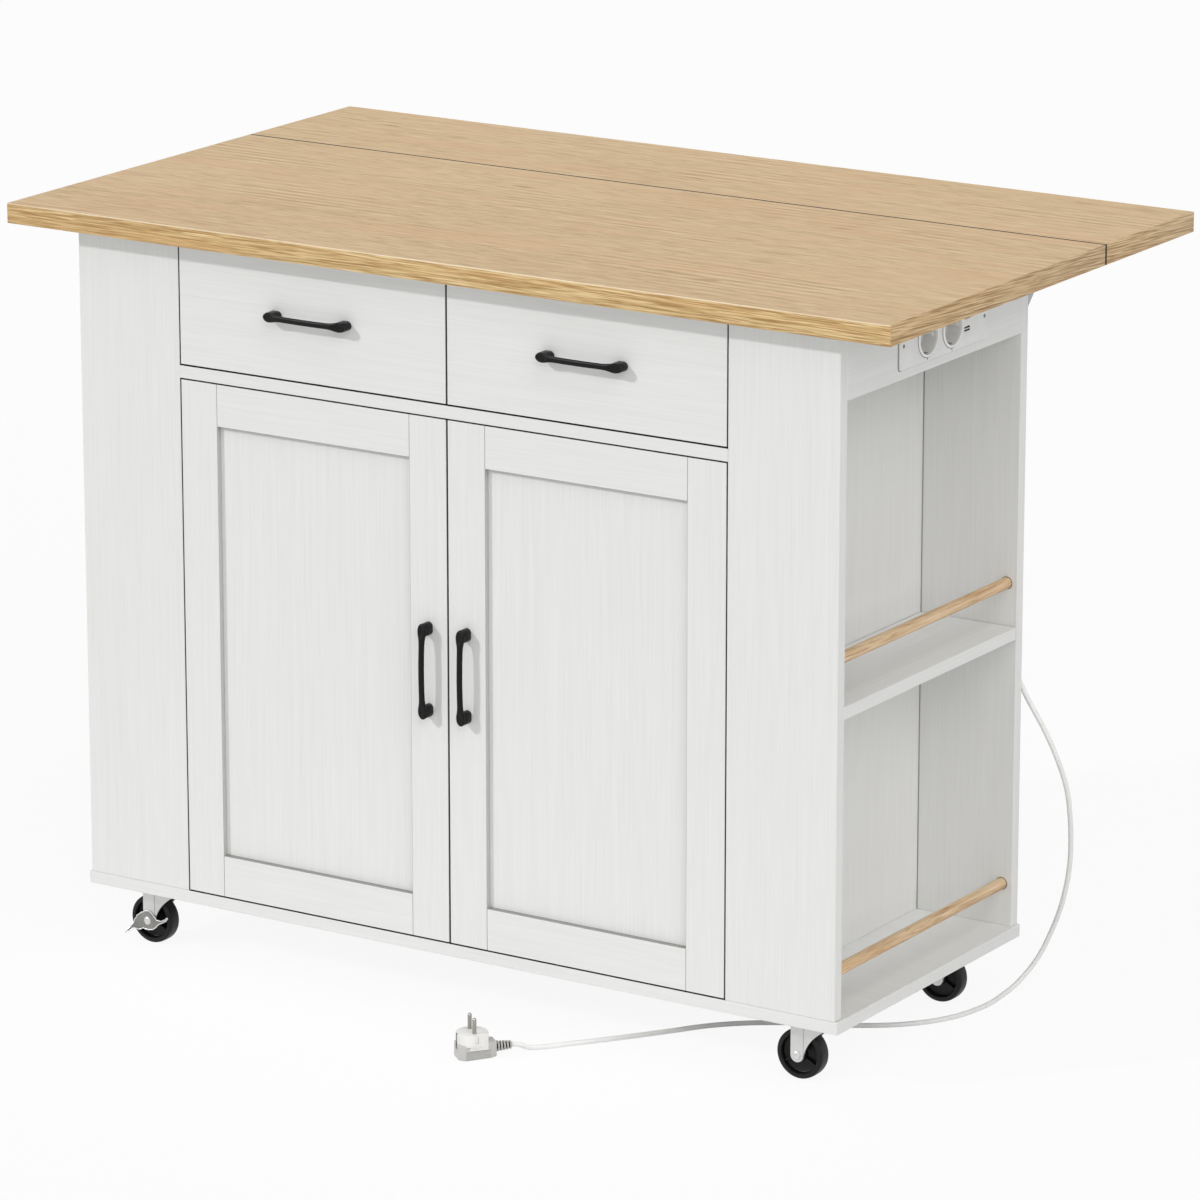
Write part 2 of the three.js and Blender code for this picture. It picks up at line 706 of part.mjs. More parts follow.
for (const [side, s] of SIDES) {
  const x = s * (halfCarcass - bracketInset);
  const half = bracketWidth / 2;
  const web = block([x - half, x + half], [carcassBack, carcassBack + bracketSteel],
    [trackBottom, underTop - seatGap]);
  const shelf = block([x - half, x + half], [carcassBack, pivotY - 2 * bracketEye],
    [underTop - seatGap - bracketSteel, underTop - seatGap]);
  const cheek = eyeOutline([pivotY, pivotZ], bracketEye, -Math.PI / 2, Math.PI / 2);
  cheek.lineTo(carcassBack, pivotZ + bracketEye);
  cheek.lineTo(carcassBack, trackBottom);
  cheek.lineTo(carcassBack + bracketFlange, trackBottom);
  cheek.lineTo(carcassBack + bracketFlange, pivotZ - 2.5 * bracketFlange);
  const cheeks = [x - half, x + half - bracketSteel].map((from) =>
    alongX(cheek, [from, from + bracketSteel], 5));
  const leafPin = rod(leafPinRadius, [pinEndInset - half, half - pinEndInset], 'x',
    [x, pivotY, pivotZ], smallSides);
  piece(`bracket_wall_${side}`, join(web, shelf, ...cheeks, leafPin), zinc);

  const halfArm = armWidth / 2;
  const armTop = underTop;
  const armSide = eyeOutline([pivotY, pivotZ], bracketEye, Math.PI / 2, 1.5 * Math.PI);
  armSide.lineTo(pivotY + armWebStart, pivotZ - bracketEye);
  armSide.lineTo(pivotY + armTaper, armTop - armDrop);
  armSide.lineTo(pivotY + armLength - armTaper, armTop - armDrop);
  armSide.lineTo(pivotY + armLength, armTop - armTipHeight);
  armSide.lineTo(pivotY + armLength, armTop);
  armSide.lineTo(pivotY + armWebStart, armTop);
  armSide.lineTo(pivotY + armWebStart, pivotZ + bracketEye);
  const eyeHole = rod(leafPinRadius + pinClear, [-half, half], 'x', [x, pivotY, pivotZ],
    smallSides);
  const armCheeks = [x - halfArm, x + halfArm - bracketSteel].map((from) =>
    alongX(armSide, [from, from + bracketSteel], 4));
  const armWeb = block([x - halfArm, x + halfArm], [pivotY + armWebStart, pivotY + armLength],
    [armTop - bracketSteel, armTop]);
  const armPin = rod(stayPinRadius, [pinEndInset - halfArm, halfArm - pinEndInset], 'x',
    [x, ...stayPin], smallSides);
  piece(`bracket_arm_${side}`, cut(join(...armCheeks, armWeb, armPin), eyeHole), zinc);

  // The stay: a flat bar from the arm's pin down to a roller in the track, drawn level.
  const bar = new THREE.Shape();
  bar.absarc(0, 0, stayHalf, -Math.PI / 2, Math.PI / 2, false);
  bar.absarc(-stayLength, 0, rollerRadius, Math.PI / 2, 1.5 * Math.PI, false);
  const hole = rod(stayPinRadius + pinClear, [-stayThick, stayThick], 'x', [0, 0, 0],
    smallSides);
  const roller = rod(rollerRadius, [-rollerLength / 2, rollerLength / 2], 'x',
    [0, -stayLength, 0], smallSides);
  const stay = piece(`bracket_stay_${side}`, cut(
    join(alongX(bar, [-stayThick / 2, stayThick / 2], 4), roller), hole), zinc);
  stay.rotation.x = Math.PI / 4;
  stay.position.set(x, ...stayPin);
}

// ---------------------------------------------------------------- castors

// Each castor is drawn about its swivel axis: the axle lies casterTrail behind it, towards -X.
const axleX = -casterTrail;
const halfFork = forkWidth / 2;

function forkGeometry(axleReach) {
  const side = new THREE.Shape();
  side.absarc(axleX, wheelRadius, forkStripHalf, Math.PI, 2 * Math.PI, false);
  side.quadraticCurveTo(axleX + forkStripHalf + forkSweepReach, forkSweepHeight,
    forkCrownReach, forkCrownTop - forkSteel);
  side.lineTo(forkCrownReach, forkCrownTop);
  side.lineTo(axleX - forkStripHalf, forkCrownTop);
  const strip = new THREE.Shape();
  strip.absarc(axleX, wheelRadius, forkStripHalf, Math.PI, 2 * Math.PI, false);
  strip.lineTo(axleX + forkStripHalf, forkCrownTop - forkSteel);
  strip.lineTo(axleX - forkStripHalf, forkCrownTop - forkSteel);
  const plates = [-1, 1].flatMap((s) => [
    alongY(side, span(s * halfFork, s * (halfFork - forkSteel)), 4),
    alongY(strip, span(s * (halfFork + forkStrip), s * (halfFork - forkSteel)), 4),
  ]);
  const crown = block([axleX - forkStripHalf, forkCrownReach], [-halfFork, halfFork],
    [forkCrownTop - forkSteel, forkCrownTop]);
  const raceTop = casterHeight - plateThick - seatGap;
  const race = turned([[0, forkCrownTop - over], [forkRaceBase, forkCrownTop - over],
    [forkRaceBase, forkCrownTop + forkRaceRim], [forkRaceTop, raceTop], [0, raceTop]],
  'z', [0, 0, 0], smallSides);
  const axleEnd = halfFork + forkStrip;
  const bolt = turned([
    [0, -axleEnd - axleReach - axleHeadThick], [axleHead, -axleEnd - axleReach - axleHeadThick],
    [axleHead, -axleEnd - axleReach], [axleRadius, -axleEnd - axleReach],
    [axleRadius, axleEnd - over], [axleHead, axleEnd - over],
    [axleHead, axleEnd + axleHeadThick], [0, axleEnd + axleHeadThick],
  ], 'y', [axleX, 0, wheelRadius], smallSides);
  return join(...plates, crown, race, bolt);
}

const rimInner = wheelRadius - wheelRim;
const halfWheel = wheelWidth / 2;
const halfHub = wheelHubWidth / 2;
const halfWeb = wheelWeb / 2;

// The tread's flats lie on the true radius, so that a wheel stands on one of them.
const treadRadius = wheelRadius / Math.cos(Math.PI / fineSides);
const wheelProfile = [
  [axleRadius + pinClear, -halfHub], [wheelHubRadius - over, -halfHub],
  [wheelHubRadius, -halfWeb], [rimInner - over, -halfWeb], [rimInner, -halfWheel],
  [treadRadius - treadEase, -halfWheel], [treadRadius, treadEase - halfWheel],
  [treadRadius, halfWheel - treadEase], [treadRadius - treadEase, halfWheel],
  [rimInner, halfWheel], [rimInner - over, halfWeb], [wheelHubRadius, halfWeb],
  [wheelHubRadius - over, halfHub], [axleRadius + pinClear, halfHub],
  [axleRadius + pinClear, -halfHub],
];
const wheelRibs = [90, 210, 330].map((deg) => block([wheelHubRadius - over, rimInner + over],
  [-wheelRibHeight / 2, wheelRibHeight / 2], [-wheelRib / 2, wheelRib / 2])
  .rotateY(-THREE.MathUtils.degToRad(deg)));
const wheelBody = turned(wheelProfile, 'y', [0, 0, 0]).rotateY(Math.PI / fineSides);
const wheelGeometry = join(wheelBody, ...wheelRibs);

// The brake lever: a leaf-shaped plate on the axle with both ends bent out into pedals.
const leverFace = halfFork + forkStrip + leverGap;
const leverBody = new THREE.Shape();
leverBody.moveTo(-leverLeft, -1.5);
leverBody.bezierCurveTo(-22, 12, -10, 12, 0, 10);
leverBody.bezierCurveTo(6, 9, 12, 3, leverRight, 1);
leverBody.lineTo(leverRight, -1);
leverBody.bezierCurveTo(16, -3, 10, -9, 0, -10);
leverBody.bezierCurveTo(-8, -11, -12, -6, -22, -8);
leverBody.lineTo(-leverLeft, -3.5);
const pedal = (s, end) => alongZ(polygon([
  [end - s * leverPedalLength, -leverFace - leverThick / 2],
  [end - s * leverPedalTip, -leverFace - leverPedal],
  [end, -leverFace - leverPedal + leverPedalEnd], [end, -leverFace],
]), [-leverThick / 2, leverThick / 2]);
const leverGeometry = cut(join(
  alongY(leverBody, [-leverFace - leverThick, -leverFace], 4),
  pedal(1, leverRight), pedal(-1, -leverLeft).translate(0, 0, -leverLeftDrop)),
rod(axleRadius + pinClear, [-leverFace - leverPedal, 0], 'y', [0, 0, 0], smallSides));

for (const [name, x, y, braked] of casterSpots) {
  const caster = new THREE.Group();
  caster.position.set(x, y, 0);
  island.add(caster);
  const reach = braked ? leverThick + 2 * leverGap : 0;
  caster.add(piece(`caster_fork_${name}`, forkGeometry(reach), zinc));
  const wheel = piece(`caster_wheel_${name}`, wheelGeometry.clone(), blackNylon);
  wheel.position.set(axleX, 0, wheelRadius);
  caster.add(wheel);
  if (braked) {
    const lever = piece(`brake_lever_${name}`, leverGeometry.clone(), zinc);
    lever.position.set(axleX, 0, wheelRadius);
    lever.rotation.y = -THREE.MathUtils.degToRad(leverTilt);
    caster.add(lever);
  }
}

// ---------------------------------------------------------------- mains lead

const bootZ = underTop - bootDrop;
const bootY = carcassBack + bootReach;
const bootEnd = bootZ - bootLength;
piece('cord_boot', join(
  rod(bootFlange, [carcassBack, carcassBack + bootFlangeThick], 'y', [bootX, 0, bootZ],
    plainSides),
  rod(bootElbow, [carcassBack, bootY], 'y', [bootX, 0, bootZ], smallSides),
  new THREE.SphereGeometry(bootElbow, smallSides, 6).translate(bootX, bootY, bootZ),
  turned([[0, 0], [bootTip, 0], [bootElbow, bootLength - over], [0, bootLength - over]], 'z',
    [bootX, bootY, bootEnd], smallSides)), leadWhite);

// The plug lies on its back with the pins up, its lead leaving level with the floor. A round
// face stands on a tapered foot; cheeks with a guide groove flank the pins, and an earth slot
// is cut at the nose and at the tail.
const turn = THREE.MathUtils.degToRad(plugTurn);
const plugFoot = new THREE.ExtrudeGeometry(polygon([
  [-plugRadius, -plugNoseHalf], [plugFlankFront, -plugFlank], [plugFlankBack, -plugFlankEnd],
  [plugTail, -plugTailHalf], [plugTail, plugTailHalf], [plugFlankBack, plugFlankEnd],
  [plugFlankFront, plugFlank], [-plugRadius, plugNoseHalf],
]), {
  depth: plugShoulder - 2 * plugEase,
  bevelEnabled: true,
  bevelThickness: plugEase,
  bevelSize: plugEase,
  bevelOffset: -plugEase,
  bevelSegments: 1,
}).translate(0, 0, plugEase);
const plugFace = turned([[0, plugShoulder - over], [plugRadius, plugShoulder - over],
  [plugRadius, plugHeight - plugEase], [plugRadius - plugEase, plugHeight], [0, plugHeight]],
'z', [0, 0, 0]);
const plugCheeks = alongY(polygon([
  [plugCheekFront - plugEase, plugCheekFoot], [plugCheekBack, plugCheekFoot],
  [plugCheekBack, plugHeight - plugEase / 2], [plugCheekFront, plugHeight - plugEase / 2],
  [plugCheekFront, plugShoulder],
]), [-plugCheek, plugCheek]);
const plugGrooves = [-1, 1].map((s) => block([-plugGrooveWidth / 2, plugGrooveWidth / 2],
  span(s * (plugRadius - plugGrooveDepth), s * (plugRadius + over)),
  [plugHeight - plugGrooveHeight, plugHeight + over]));
const plugEarthSlots = [-1, 1].map((s) => block(
  span(s * (plugRadius - plugEarthDepth), s * (plugRadius + over)),
  [-plugEarthWidth / 2, plugEarthWidth / 2], [plugHeight - plugEarthHeight, plugHeight + over]));
const plugPins = [-1, 1].map((s) => turned([[0, plugHeight - over],
  [plugPinRadius, plugHeight - over], [plugPinRadius, plugHeight + plugPinLength - plugPinEase],
  [plugPinRadius - plugPinEase, plugHeight + plugPinLength], [0, plugHeight + plugPinLength]],
'z', [0, s * plugPinPitch / 2, 0], smallSides));
const reliefProfile = [[0, plugTail - over], [reliefRadius, plugTail - over]];
const ribPitch = reliefLength / (reliefRibs + 1);
for (let i = 0; i < reliefRibs; i += 1) {
  const start = plugTail + (i + 0.5) * ribPitch;
  const radius = reliefRadius - i * reliefTaper;
  reliefProfile.push([radius, start], [radius - reliefGroove, start],
    [radius - reliefGroove, start + ribPitch / 2], [radius - reliefTaper, start + ribPitch / 2]);
}
reliefProfile.push([cordRadius + reliefTaper, plugTail + reliefLength],
  [0, plugTail + reliefLength]);
const relief = turned(reliefProfile, 'x', [0, 0, reliefHeight], 8);
const plug = piece('plug', join(cut(join(plugFoot, plugFace, plugCheeks), ...plugGrooves,
  ...plugEarthSlots), ...plugPins, relief), leadWhite);
plug.rotation.z = turn;
plug.position.set(plugX, plugY, 0);

// The lead hangs down the back from its boot, swings out past the right-hand end, comes to
// the floor behind the rear castor and runs under the island to the plug in front.
const leadEnd = (along) => [plugX + along * Math.cos(turn), plugY + along * Math.sin(turn)];
const firstStep = plugTail + reliefLength + seatGap;
const cordPoints = [
  [bootX, bootY, bootEnd - seatGap],
  [bootX, bootY, bootEnd - 22],
  [431.5, 116.3, 710],
  [437, 116.3, 640],
  [448, 116.3, 570],
  [464, 116.3, 500],
  [486, 116.8, 435],
  [511.5, 117.5, 375.5],
  [545, 118.5, 322],
  [561, 121.5, 287],
  [569, 126.5, 256],
  [571, 131.5, 225],
  [570, 136.5, 197],
  [566.5, 141.5, 159.5],
  [558.7, 144, 120.5],
  [550.3, 145, 93.5],
  [541.6, 144, 70.5],
  [532.9, 138.5, 47.5],
  [525.9, 129.5, 31.5],
  [519, 118, 18.5],
  [513, 104, 8.5],
  [509.5, 86, 3.6],
  [511, 60, cordRest],
  [509.5, 32, cordRest],
  [497, -16, cordRest],
  [470, -58, cordRest],
  [425, -95, cordRest],
  [335, -140.5, cordRest],
  [282, -183.5, cordRest],
  [243.5, -236.5, cordRest],
  [205.5, -289.5, cordRest],
  [171, -334, cordRest],
  [...leadEnd(firstStep + 32), cordRest],
  [...leadEnd(firstStep + 21), 4.2],
  [...leadEnd(firstStep + 10), 8.5],
  [...leadEnd(firstStep + 3), 9.9],
  [...leadEnd(firstStep), reliefHeight],
];
const cordCurve = new THREE.CatmullRomCurve3(
  cordPoints.map((p) => new THREE.Vector3(...p)), false, 'centripetal');
const cordSection = new THREE.Shape();
cordSection.absarc(0, 0, cordRadius, 0, 2 * Math.PI, false);
piece('cord', new THREE.ExtrudeGeometry(cordSection, {
  steps: 80, extrudePath: cordCurve, curveSegments: 4, bevelEnabled: false,
}), leadWhite);

export default island;
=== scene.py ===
"""The looks of a white kitchen island on castors with an oak drop-leaf top."""

import math

import bmesh
import bpy
from mathutils import Matrix, Vector


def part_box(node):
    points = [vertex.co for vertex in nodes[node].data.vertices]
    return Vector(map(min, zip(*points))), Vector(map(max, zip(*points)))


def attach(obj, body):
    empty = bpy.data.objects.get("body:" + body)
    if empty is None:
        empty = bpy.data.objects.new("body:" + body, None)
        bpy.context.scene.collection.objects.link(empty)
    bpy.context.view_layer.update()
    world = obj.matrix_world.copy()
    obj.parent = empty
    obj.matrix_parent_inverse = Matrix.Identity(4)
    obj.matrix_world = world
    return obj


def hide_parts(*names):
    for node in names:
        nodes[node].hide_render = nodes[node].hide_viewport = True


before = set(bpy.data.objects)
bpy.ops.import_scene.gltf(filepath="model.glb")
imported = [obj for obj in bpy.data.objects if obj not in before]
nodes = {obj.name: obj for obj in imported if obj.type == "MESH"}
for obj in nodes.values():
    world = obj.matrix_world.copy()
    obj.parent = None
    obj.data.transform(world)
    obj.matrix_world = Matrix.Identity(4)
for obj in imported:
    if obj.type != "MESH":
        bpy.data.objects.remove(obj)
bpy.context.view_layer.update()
MM = 0.001

# ---------------------------------------------------------------- camera, floor and light
# The island stands on a plain white floor and is seen from its front right-hand corner.
# A long lens looks slightly down. A small soft sun comes over the viewer's left shoulder and
# throws the shadows; a broad lamp high on the right fills the side bays.

SENSOR = 36.0
LENS = 193.28
CAMERA_PLACE = (3.98845, -6.24118, 2.46576)
CAMERA_TURN = 32.569
CAMERA_PITCH = 15.356
CAMERA_REACH = 60


def add_object(name, data):
    """An object that shows the data, placed in the scene."""
    made = bpy.data.objects.new(name, data)
    bpy.context.scene.collection.objects.link(made)
    return made


camera_data = bpy.data.cameras.new("camera")
camera_data.sensor_width = SENSOR
camera_data.lens = LENS
camera_data.clip_end = CAMERA_REACH
camera = add_object("camera", camera_data)
camera.location = CAMERA_PLACE
camera.rotation_euler = (math.radians(90 - CAMERA_PITCH), 0, math.radians(CAMERA_TURN))
bpy.context.scene.camera = camera
bpy.context.scene.view_settings.view_transform = "Standard"

# Lamp name: the way its light travels, strength, softness in degrees
LAMPS = {
    "window_light": ((0.8, 1.0, -0.75), 1.17, 3.5),
    "side_fill": ((-0.68, 0.42, -0.62), 1.4, 60),
}

for name, (travel, strength, softness) in LAMPS.items():
    lamp_data = bpy.data.lights.new(name, "SUN")
    lamp_data.energy = strength
    lamp_data.angle = math.radians(softness)
    lamp = add_object(name, lamp_data)
    lamp.rotation_euler = Vector(travel).to_track_quat("-Z", "Y").to_euler()


def feed(tree, socket, value):
    """Gives a node's input a fixed value, or the output of another node."""
    if isinstance(value, bpy.types.NodeSocket):
        tree.links.new(value, socket)
    else:
        socket.default_value = value


def feed_named(tree, node, **inputs):
    """Feeds a node's named inputs; underscores stand for the spaces in their names."""
    for name, value in inputs.items():
        feed(tree, node.inputs[name.replace("_", " ")], value)
    return node


def add_node(tree, kind, **inputs):
    """A new node with its named inputs fed."""
    return feed_named(tree, tree.nodes.new(kind), **inputs)


def calc(tree, kind, first, second):
    """The result of a sum or a comparison of two values."""
    node = tree.nodes.new("ShaderNodeMath")
    node.operation = kind
    feed(tree, node.inputs[0], first)
    feed(tree, node.inputs[1], second)
    return node.outputs[0]


def add_background(tree, lit, white, share, ending):
    """Shows the white shader to rays that see the background, and the lit one to the rest.

    They come from the camera, or by way of a reflection or through glass.
    """
    path = tree.nodes.new("ShaderNodeLightPath")
    seen = path.outputs["Is Camera Ray"]
    for kind in ("Is Glossy Ray", "Is Transmission Ray"):
        seen = calc(tree, "MAXIMUM", seen, path.outputs[kind])
    mix = add_node(tree, "ShaderNodeMixShader", Fac=calc(tree, "MULTIPLY", seen, share))
    feed(tree, mix.inputs[1], lit.outputs[0])
    feed(tree, mix.inputs[2], white.outputs[0])
    add_node(tree, ending, Surface=mix.outputs[0])


WHITE = (1, 1, 1, 1)
SKY_STRENGTH = 0.335

world = bpy.data.worlds.new("studio")
bpy.context.scene.world = world
world.use_nodes = True
sky = world.node_tree
sky.nodes.clear()
add_background(sky, add_node(sky, "ShaderNodeBackground", Color=WHITE, Strength=SKY_STRENGTH),
               add_node(sky, "ShaderNodeBackground", Color=WHITE), 1, "ShaderNodeOutputWorld")

FLOOR_REACH = 30
FLOOR_SHADOW_SHARE = 0.1
FLOOR_PAINT = (0.93, 0.93, 0.93, 1)

floor_mesh = bpy.data.meshes.new("floor")
floor_mesh.from_pydata(
    [(x * FLOOR_REACH, y * FLOOR_REACH, 0) for x, y in ((-1, -1), (1, -1), (1, 1), (-1, 1))],
    [], [(0, 1, 2, 3)])
floor = add_object("floor", floor_mesh)
floor_material = bpy.data.materials.new("floor white")
floor_material.use_nodes = True
floor_tree = floor_material.node_tree
floor_tree.nodes.clear()
add_background(floor_tree, add_node(floor_tree, "ShaderNodeBsdfDiffuse", Color=FLOOR_PAINT),
               add_node(floor_tree, "ShaderNodeEmission"), 1 - FLOOR_SHADOW_SHARE,
               "ShaderNodeOutputMaterial")
floor_mesh.materials.append(floor_material)

# ---------------------------------------------------------------- mains lead
# A round off-white PVC lead of about 1.5 m. It hangs from its boot behind the cabinet,
# swings out past the right-hand end and runs along the floor to the plug in front.

LEAD_DIAMETER = 6 * MM
FLOOR_REST = 3.15
LEAD_COLOR = (244, 244, 242)
PLUG_PLACE = (97.5, -422.5)
PLUG_TURN = 50
PLUG_TAIL = 27
RELIEF_LENGTH = 20
RELIEF_HEIGHT = 10
RELIEF_GAP = 0.3
LEAD_START = Vector((430, 116.25, 793))


def along_plug(distance, height):
    """A point on the line on which the lead leaves the plug."""
    turn = math.radians(PLUG_TURN)
    return (PLUG_PLACE[0] + distance * math.cos(turn),
            PLUG_PLACE[1] + distance * math.sin(turn), height)


relief_end = PLUG_TAIL + RELIEF_LENGTH + RELIEF_GAP
LEAD_POINTS = [
    LEAD_START, (430, 116.25, 771.3), (431.5, 116.3, 710), (437, 116.3, 640),
    (448, 116.3, 570), (464, 116.3, 500), (486, 116.8, 435), (511.5, 117.5, 375.5),
    (545, 118.5, 322), (561, 121.5, 287), (569, 126.5, 256), (571, 131.5, 225),
    (570, 136.5, 197), (566.5, 141.5, 159.5), (558.7, 144, 120.5), (550.3, 145, 93.5),
    (541.6, 144, 70.5), (532.9, 138.5, 47.5), (525.9, 129.5, 31.5), (519, 118, 18.5),
    (513, 104, 8.5), (509.5, 86, 3.6), (511, 60, FLOOR_REST), (509.5, 32, FLOOR_REST),
    (497, -16, FLOOR_REST), (470, -58, FLOOR_REST), (425, -95, FLOOR_REST),
    (335, -140.5, FLOOR_REST), (282, -183.5, FLOOR_REST), (243.5, -236.5, FLOOR_REST),
    (205.5, -289.5, FLOOR_REST), (171, -334, FLOOR_REST),
    along_plug(relief_end + 32, FLOOR_REST), along_plug(relief_end + 21, 4.2),
    along_plug(relief_end + 10, 8.5), along_plug(relief_end + 3, 9.9),
    along_plug(relief_end, RELIEF_HEIGHT),
]


def linear(color):
    """A colour as seen on screen, 0 to 255, turned into the light that a shader takes."""
    values = [c / 255 for c in color]
    return (*[v / 12.92 if v <= 0.04045 else ((v + 0.055) / 1.055) ** 2.4 for v in values], 1)


def surface_group(name, inputs):
    """An empty node group that gives colour, roughness and height, and its two end nodes.

    An input is a number, a colour, or a vector where nothing is given.
    """
    kinds = {float: "NodeSocketFloat", tuple: "NodeSocketColor", type(None): "NodeSocketVector"}
    tree = bpy.data.node_groups.new(name, "ShaderNodeTree")
    for label, value in inputs.items():
        socket = tree.interface.new_socket(label, in_out="INPUT", socket_type=kinds[type(value)])
        if value is not None:
            socket.default_value = value
    for label, kind in (("Color", tuple), ("Roughness", float), ("Height", float)):
        tree.interface.new_socket(label, in_out="OUTPUT", socket_type=kinds[kind])
    return tree, tree.nodes.new("NodeGroupInput"), tree.nodes.new("NodeGroupOutput")


def moulded_surface_group():
    """Fine mottling of a moulded or painted surface: a tint, a roughness and a small relief."""
    tree, start, end = surface_group("moulded surface", {
        "Color": (0.5, 0.5, 0.5, 1), "Grain Scale": 900.0, "Tint": 0.06, "Roughness": 0.45,
        "Spread": 0.1})
    place = tree.nodes.new("ShaderNodeTexCoord").outputs["Object"]
    fine = add_node(tree, "ShaderNodeTexNoise", Vector=place, Detail=3.0,
                    Scale=start.outputs["Grain Scale"])
    broad = add_node(tree, "ShaderNodeTexNoise", Vector=place, Detail=2.0, Scale=38.0)
    swing = add_node(tree, "ShaderNodeMapRange", Value=broad.outputs["Fac"], From_Min=0.3,
                     From_Max=0.7, To_Min=calc(tree, "SUBTRACT", 1.0, start.outputs["Tint"]))
    tinted = tree.nodes.new("ShaderNodeVectorMath")
    tinted.operation = "SCALE"
    feed(tree, tinted.inputs[0], start.outputs["Color"])
    feed(tree, tinted.inputs["Scale"], swing.outputs["Result"])
    uneven = calc(tree, "MULTIPLY", fine.outputs["Fac"], start.outputs["Spread"])
    feed_named(tree, end, Color=tinted.outputs[0], Height=fine.outputs["Fac"],
               Roughness=calc(tree, "ADD", uneven, start.outputs["Roughness"]))
    return tree


RELIEF_REACH = 0.1 * MM


def surface_material(name, group, values, relief):
    """A material that takes colour, roughness and relief from a node group; with its nodes."""
    material = bpy.data.materials.new(name)
    material.use_nodes = True
    tree = material.node_tree
    shader = tree.nodes["Principled BSDF"]
    surface = tree.nodes.new("ShaderNodeGroup")
    surface.node_tree = group
    for label, value in values.items():
        surface.inputs[label].default_value = value
    bump = add_node(tree, "ShaderNodeBump", Strength=relief, Distance=RELIEF_REACH,
                    Height=surface.outputs["Height"])
    feed_named(tree, shader, Base_Color=surface.outputs["Color"], Normal=bump.outputs["Normal"],
               Roughness=surface.outputs["Roughness"])
    return material, shader, surface


moulded_surface = moulded_surface_group()


def moulded_material(name, color, roughness, spread=0.1, tint=0.06, grain=900.0, relief=0.2,
                     metallic=0.0, specular=0.5):
    """Plastic, paint or plain metal on the moulded surface."""
    material, shader, _ = surface_material(name, moulded_surface, {
        "Color": linear(color), "Grain Scale": grain, "Tint": tint, "Roughness": roughness,
        "Spread": spread}, relief)
    shader.inputs["Metallic"].default_value = metallic
    shader.inputs["Specular IOR Level"].default_value = specular
    return material


lead_pvc = moulded_material("lead pvc", LEAD_COLOR, 0.42, grain=1500.0)

lead_curve = bpy.data.curves.new("mains_lead", "CURVE")
lead_curve.dimensions = "3D"
lead_curve.bevel_depth = LEAD_DIAMETER / 2
lead_curve.bevel_resolution = 5
lead_curve.resolution_u = 10
lead_curve.use_fill_caps = True
lead_spline = lead_curve.splines.new("BEZIER")
lead_spline.bezier_points.add(len(LEAD_POINTS) - 1)
for bend, point in zip(lead_spline.bezier_points, LEAD_POINTS):
    bend.co = Vector(point) * MM
    bend.handle_left_type = "AUTO"
    bend.handle_right_type = "AUTO"
lead_curve.materials.append(lead_pvc)
lead = add_object("mains_lead", lead_curve)
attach(lead, "island")
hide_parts("cord")

# ---------------------------------------------------------------- plug
# An angled two-pin plug moulded in off-white PVC, lying on its back with its pins up. Its foot
# narrows to the nose and the tail, the round face stands on it between two grooved cheeks,
# and a ribbed sleeve guards the lead. The foot, the grips and the sleeve's ribs are painted
# in darker greys as their shade, and the sleeve's core near black as the shade in its grooves.
# The pins and the earth strips are nickel-plated; the strips are painted darker as shade in their
# slots.

PLUG_RADIUS = 19
PLUG_SHOULDER = 19
PLUG_TOP = 31
PLUG_EASE = 1.4
PLUG_FOOT = ((-19, -9), (-12, -15.5), (20, -12), (PLUG_TAIL, -8),
             (PLUG_TAIL, 8), (20, 12), (-12, 15.5), (-19, 9))
GRIP_START = (-11.2, 15.42)
GRIP_STOP = (19.2, 12.13)
GRIP_HEIGHTS = ((1.6, 4.2), (5.0, 7.6), (8.4, 11.0))
GRIP_HALF = 0.3
CHEEK_FACE = 16.4
CHEEK_SPAN = (-6, 15)
CHEEK_FOOT = 12
CHEEK_TOP = PLUG_TOP - 0.7
GUIDE_WIDTH = 5
GUIDE_DEPTH = 2
GUIDE_HEIGHT = 9.5
EARTH_WIDTH = 6
EARTH_DEPTH = 1.4
EARTH_HEIGHT = 20
EARTH_STRIP = 0.4
PIN_RADIUS = 2.4
PIN_LENGTH = 19
PIN_PITCH = 19
RELIEF_RIBS = 5
RELIEF_RADIUS = 6.6
RELIEF_TAPER = 0.3
RELIEF_CORE = 3.3
RELIEF_EASE = 0.35


def at(place, axis="Z", degrees=0):
    """A frame at a place in millimetres, turned about one of its axes."""
    return Matrix.Translation(place) @ Matrix.Rotation(math.radians(degrees), 4, axis)


def make_piece(name, mesh_work, material, body, smooth=35, place=Matrix()):
    """Turns mesh work in millimetres into a finished piece that rides on its body."""
    bmesh.ops.transform(mesh_work, matrix=Matrix.Scale(MM, 4) @ place, verts=mesh_work.verts)
    bmesh.ops.recalc_face_normals(mesh_work, faces=mesh_work.faces)
    mesh = bpy.data.meshes.new(name)
    mesh_work.to_mesh(mesh)
    mesh_work.free()
    mesh.materials.append(material)
    mesh.shade_smooth()
    mesh.set_sharp_from_angle(angle=math.radians(smooth))
    piece = add_object(name, mesh)
    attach(piece, body)
    return piece


# Lengths below this count as none
TOUCH = 1e-6


def circle(radius, sides):
    """Points evenly round a circle."""
    return [(radius * math.cos(a), radius * math.sin(a))
            for a in (2 * math.pi * i / sides for i in range(sides))]


def join_rings(mesh_work, rings, closed=False):
    """Faces from each ring of points to the next; a ring of one point makes a tip."""
    sides = max(len(ring) for ring in rings)
    for low, high in zip(rings, rings[1:] + rings[:1] if closed else rings[1:]):
        for i in range(sides):
            j = (i + 1) % sides
            corners = dict.fromkeys([low[i % len(low)], low[j % len(low)], high[j % len(high)],
                                     high[i % len(high)]])
            if len(corners) > 2:
                mesh_work.faces.new(list(corners))


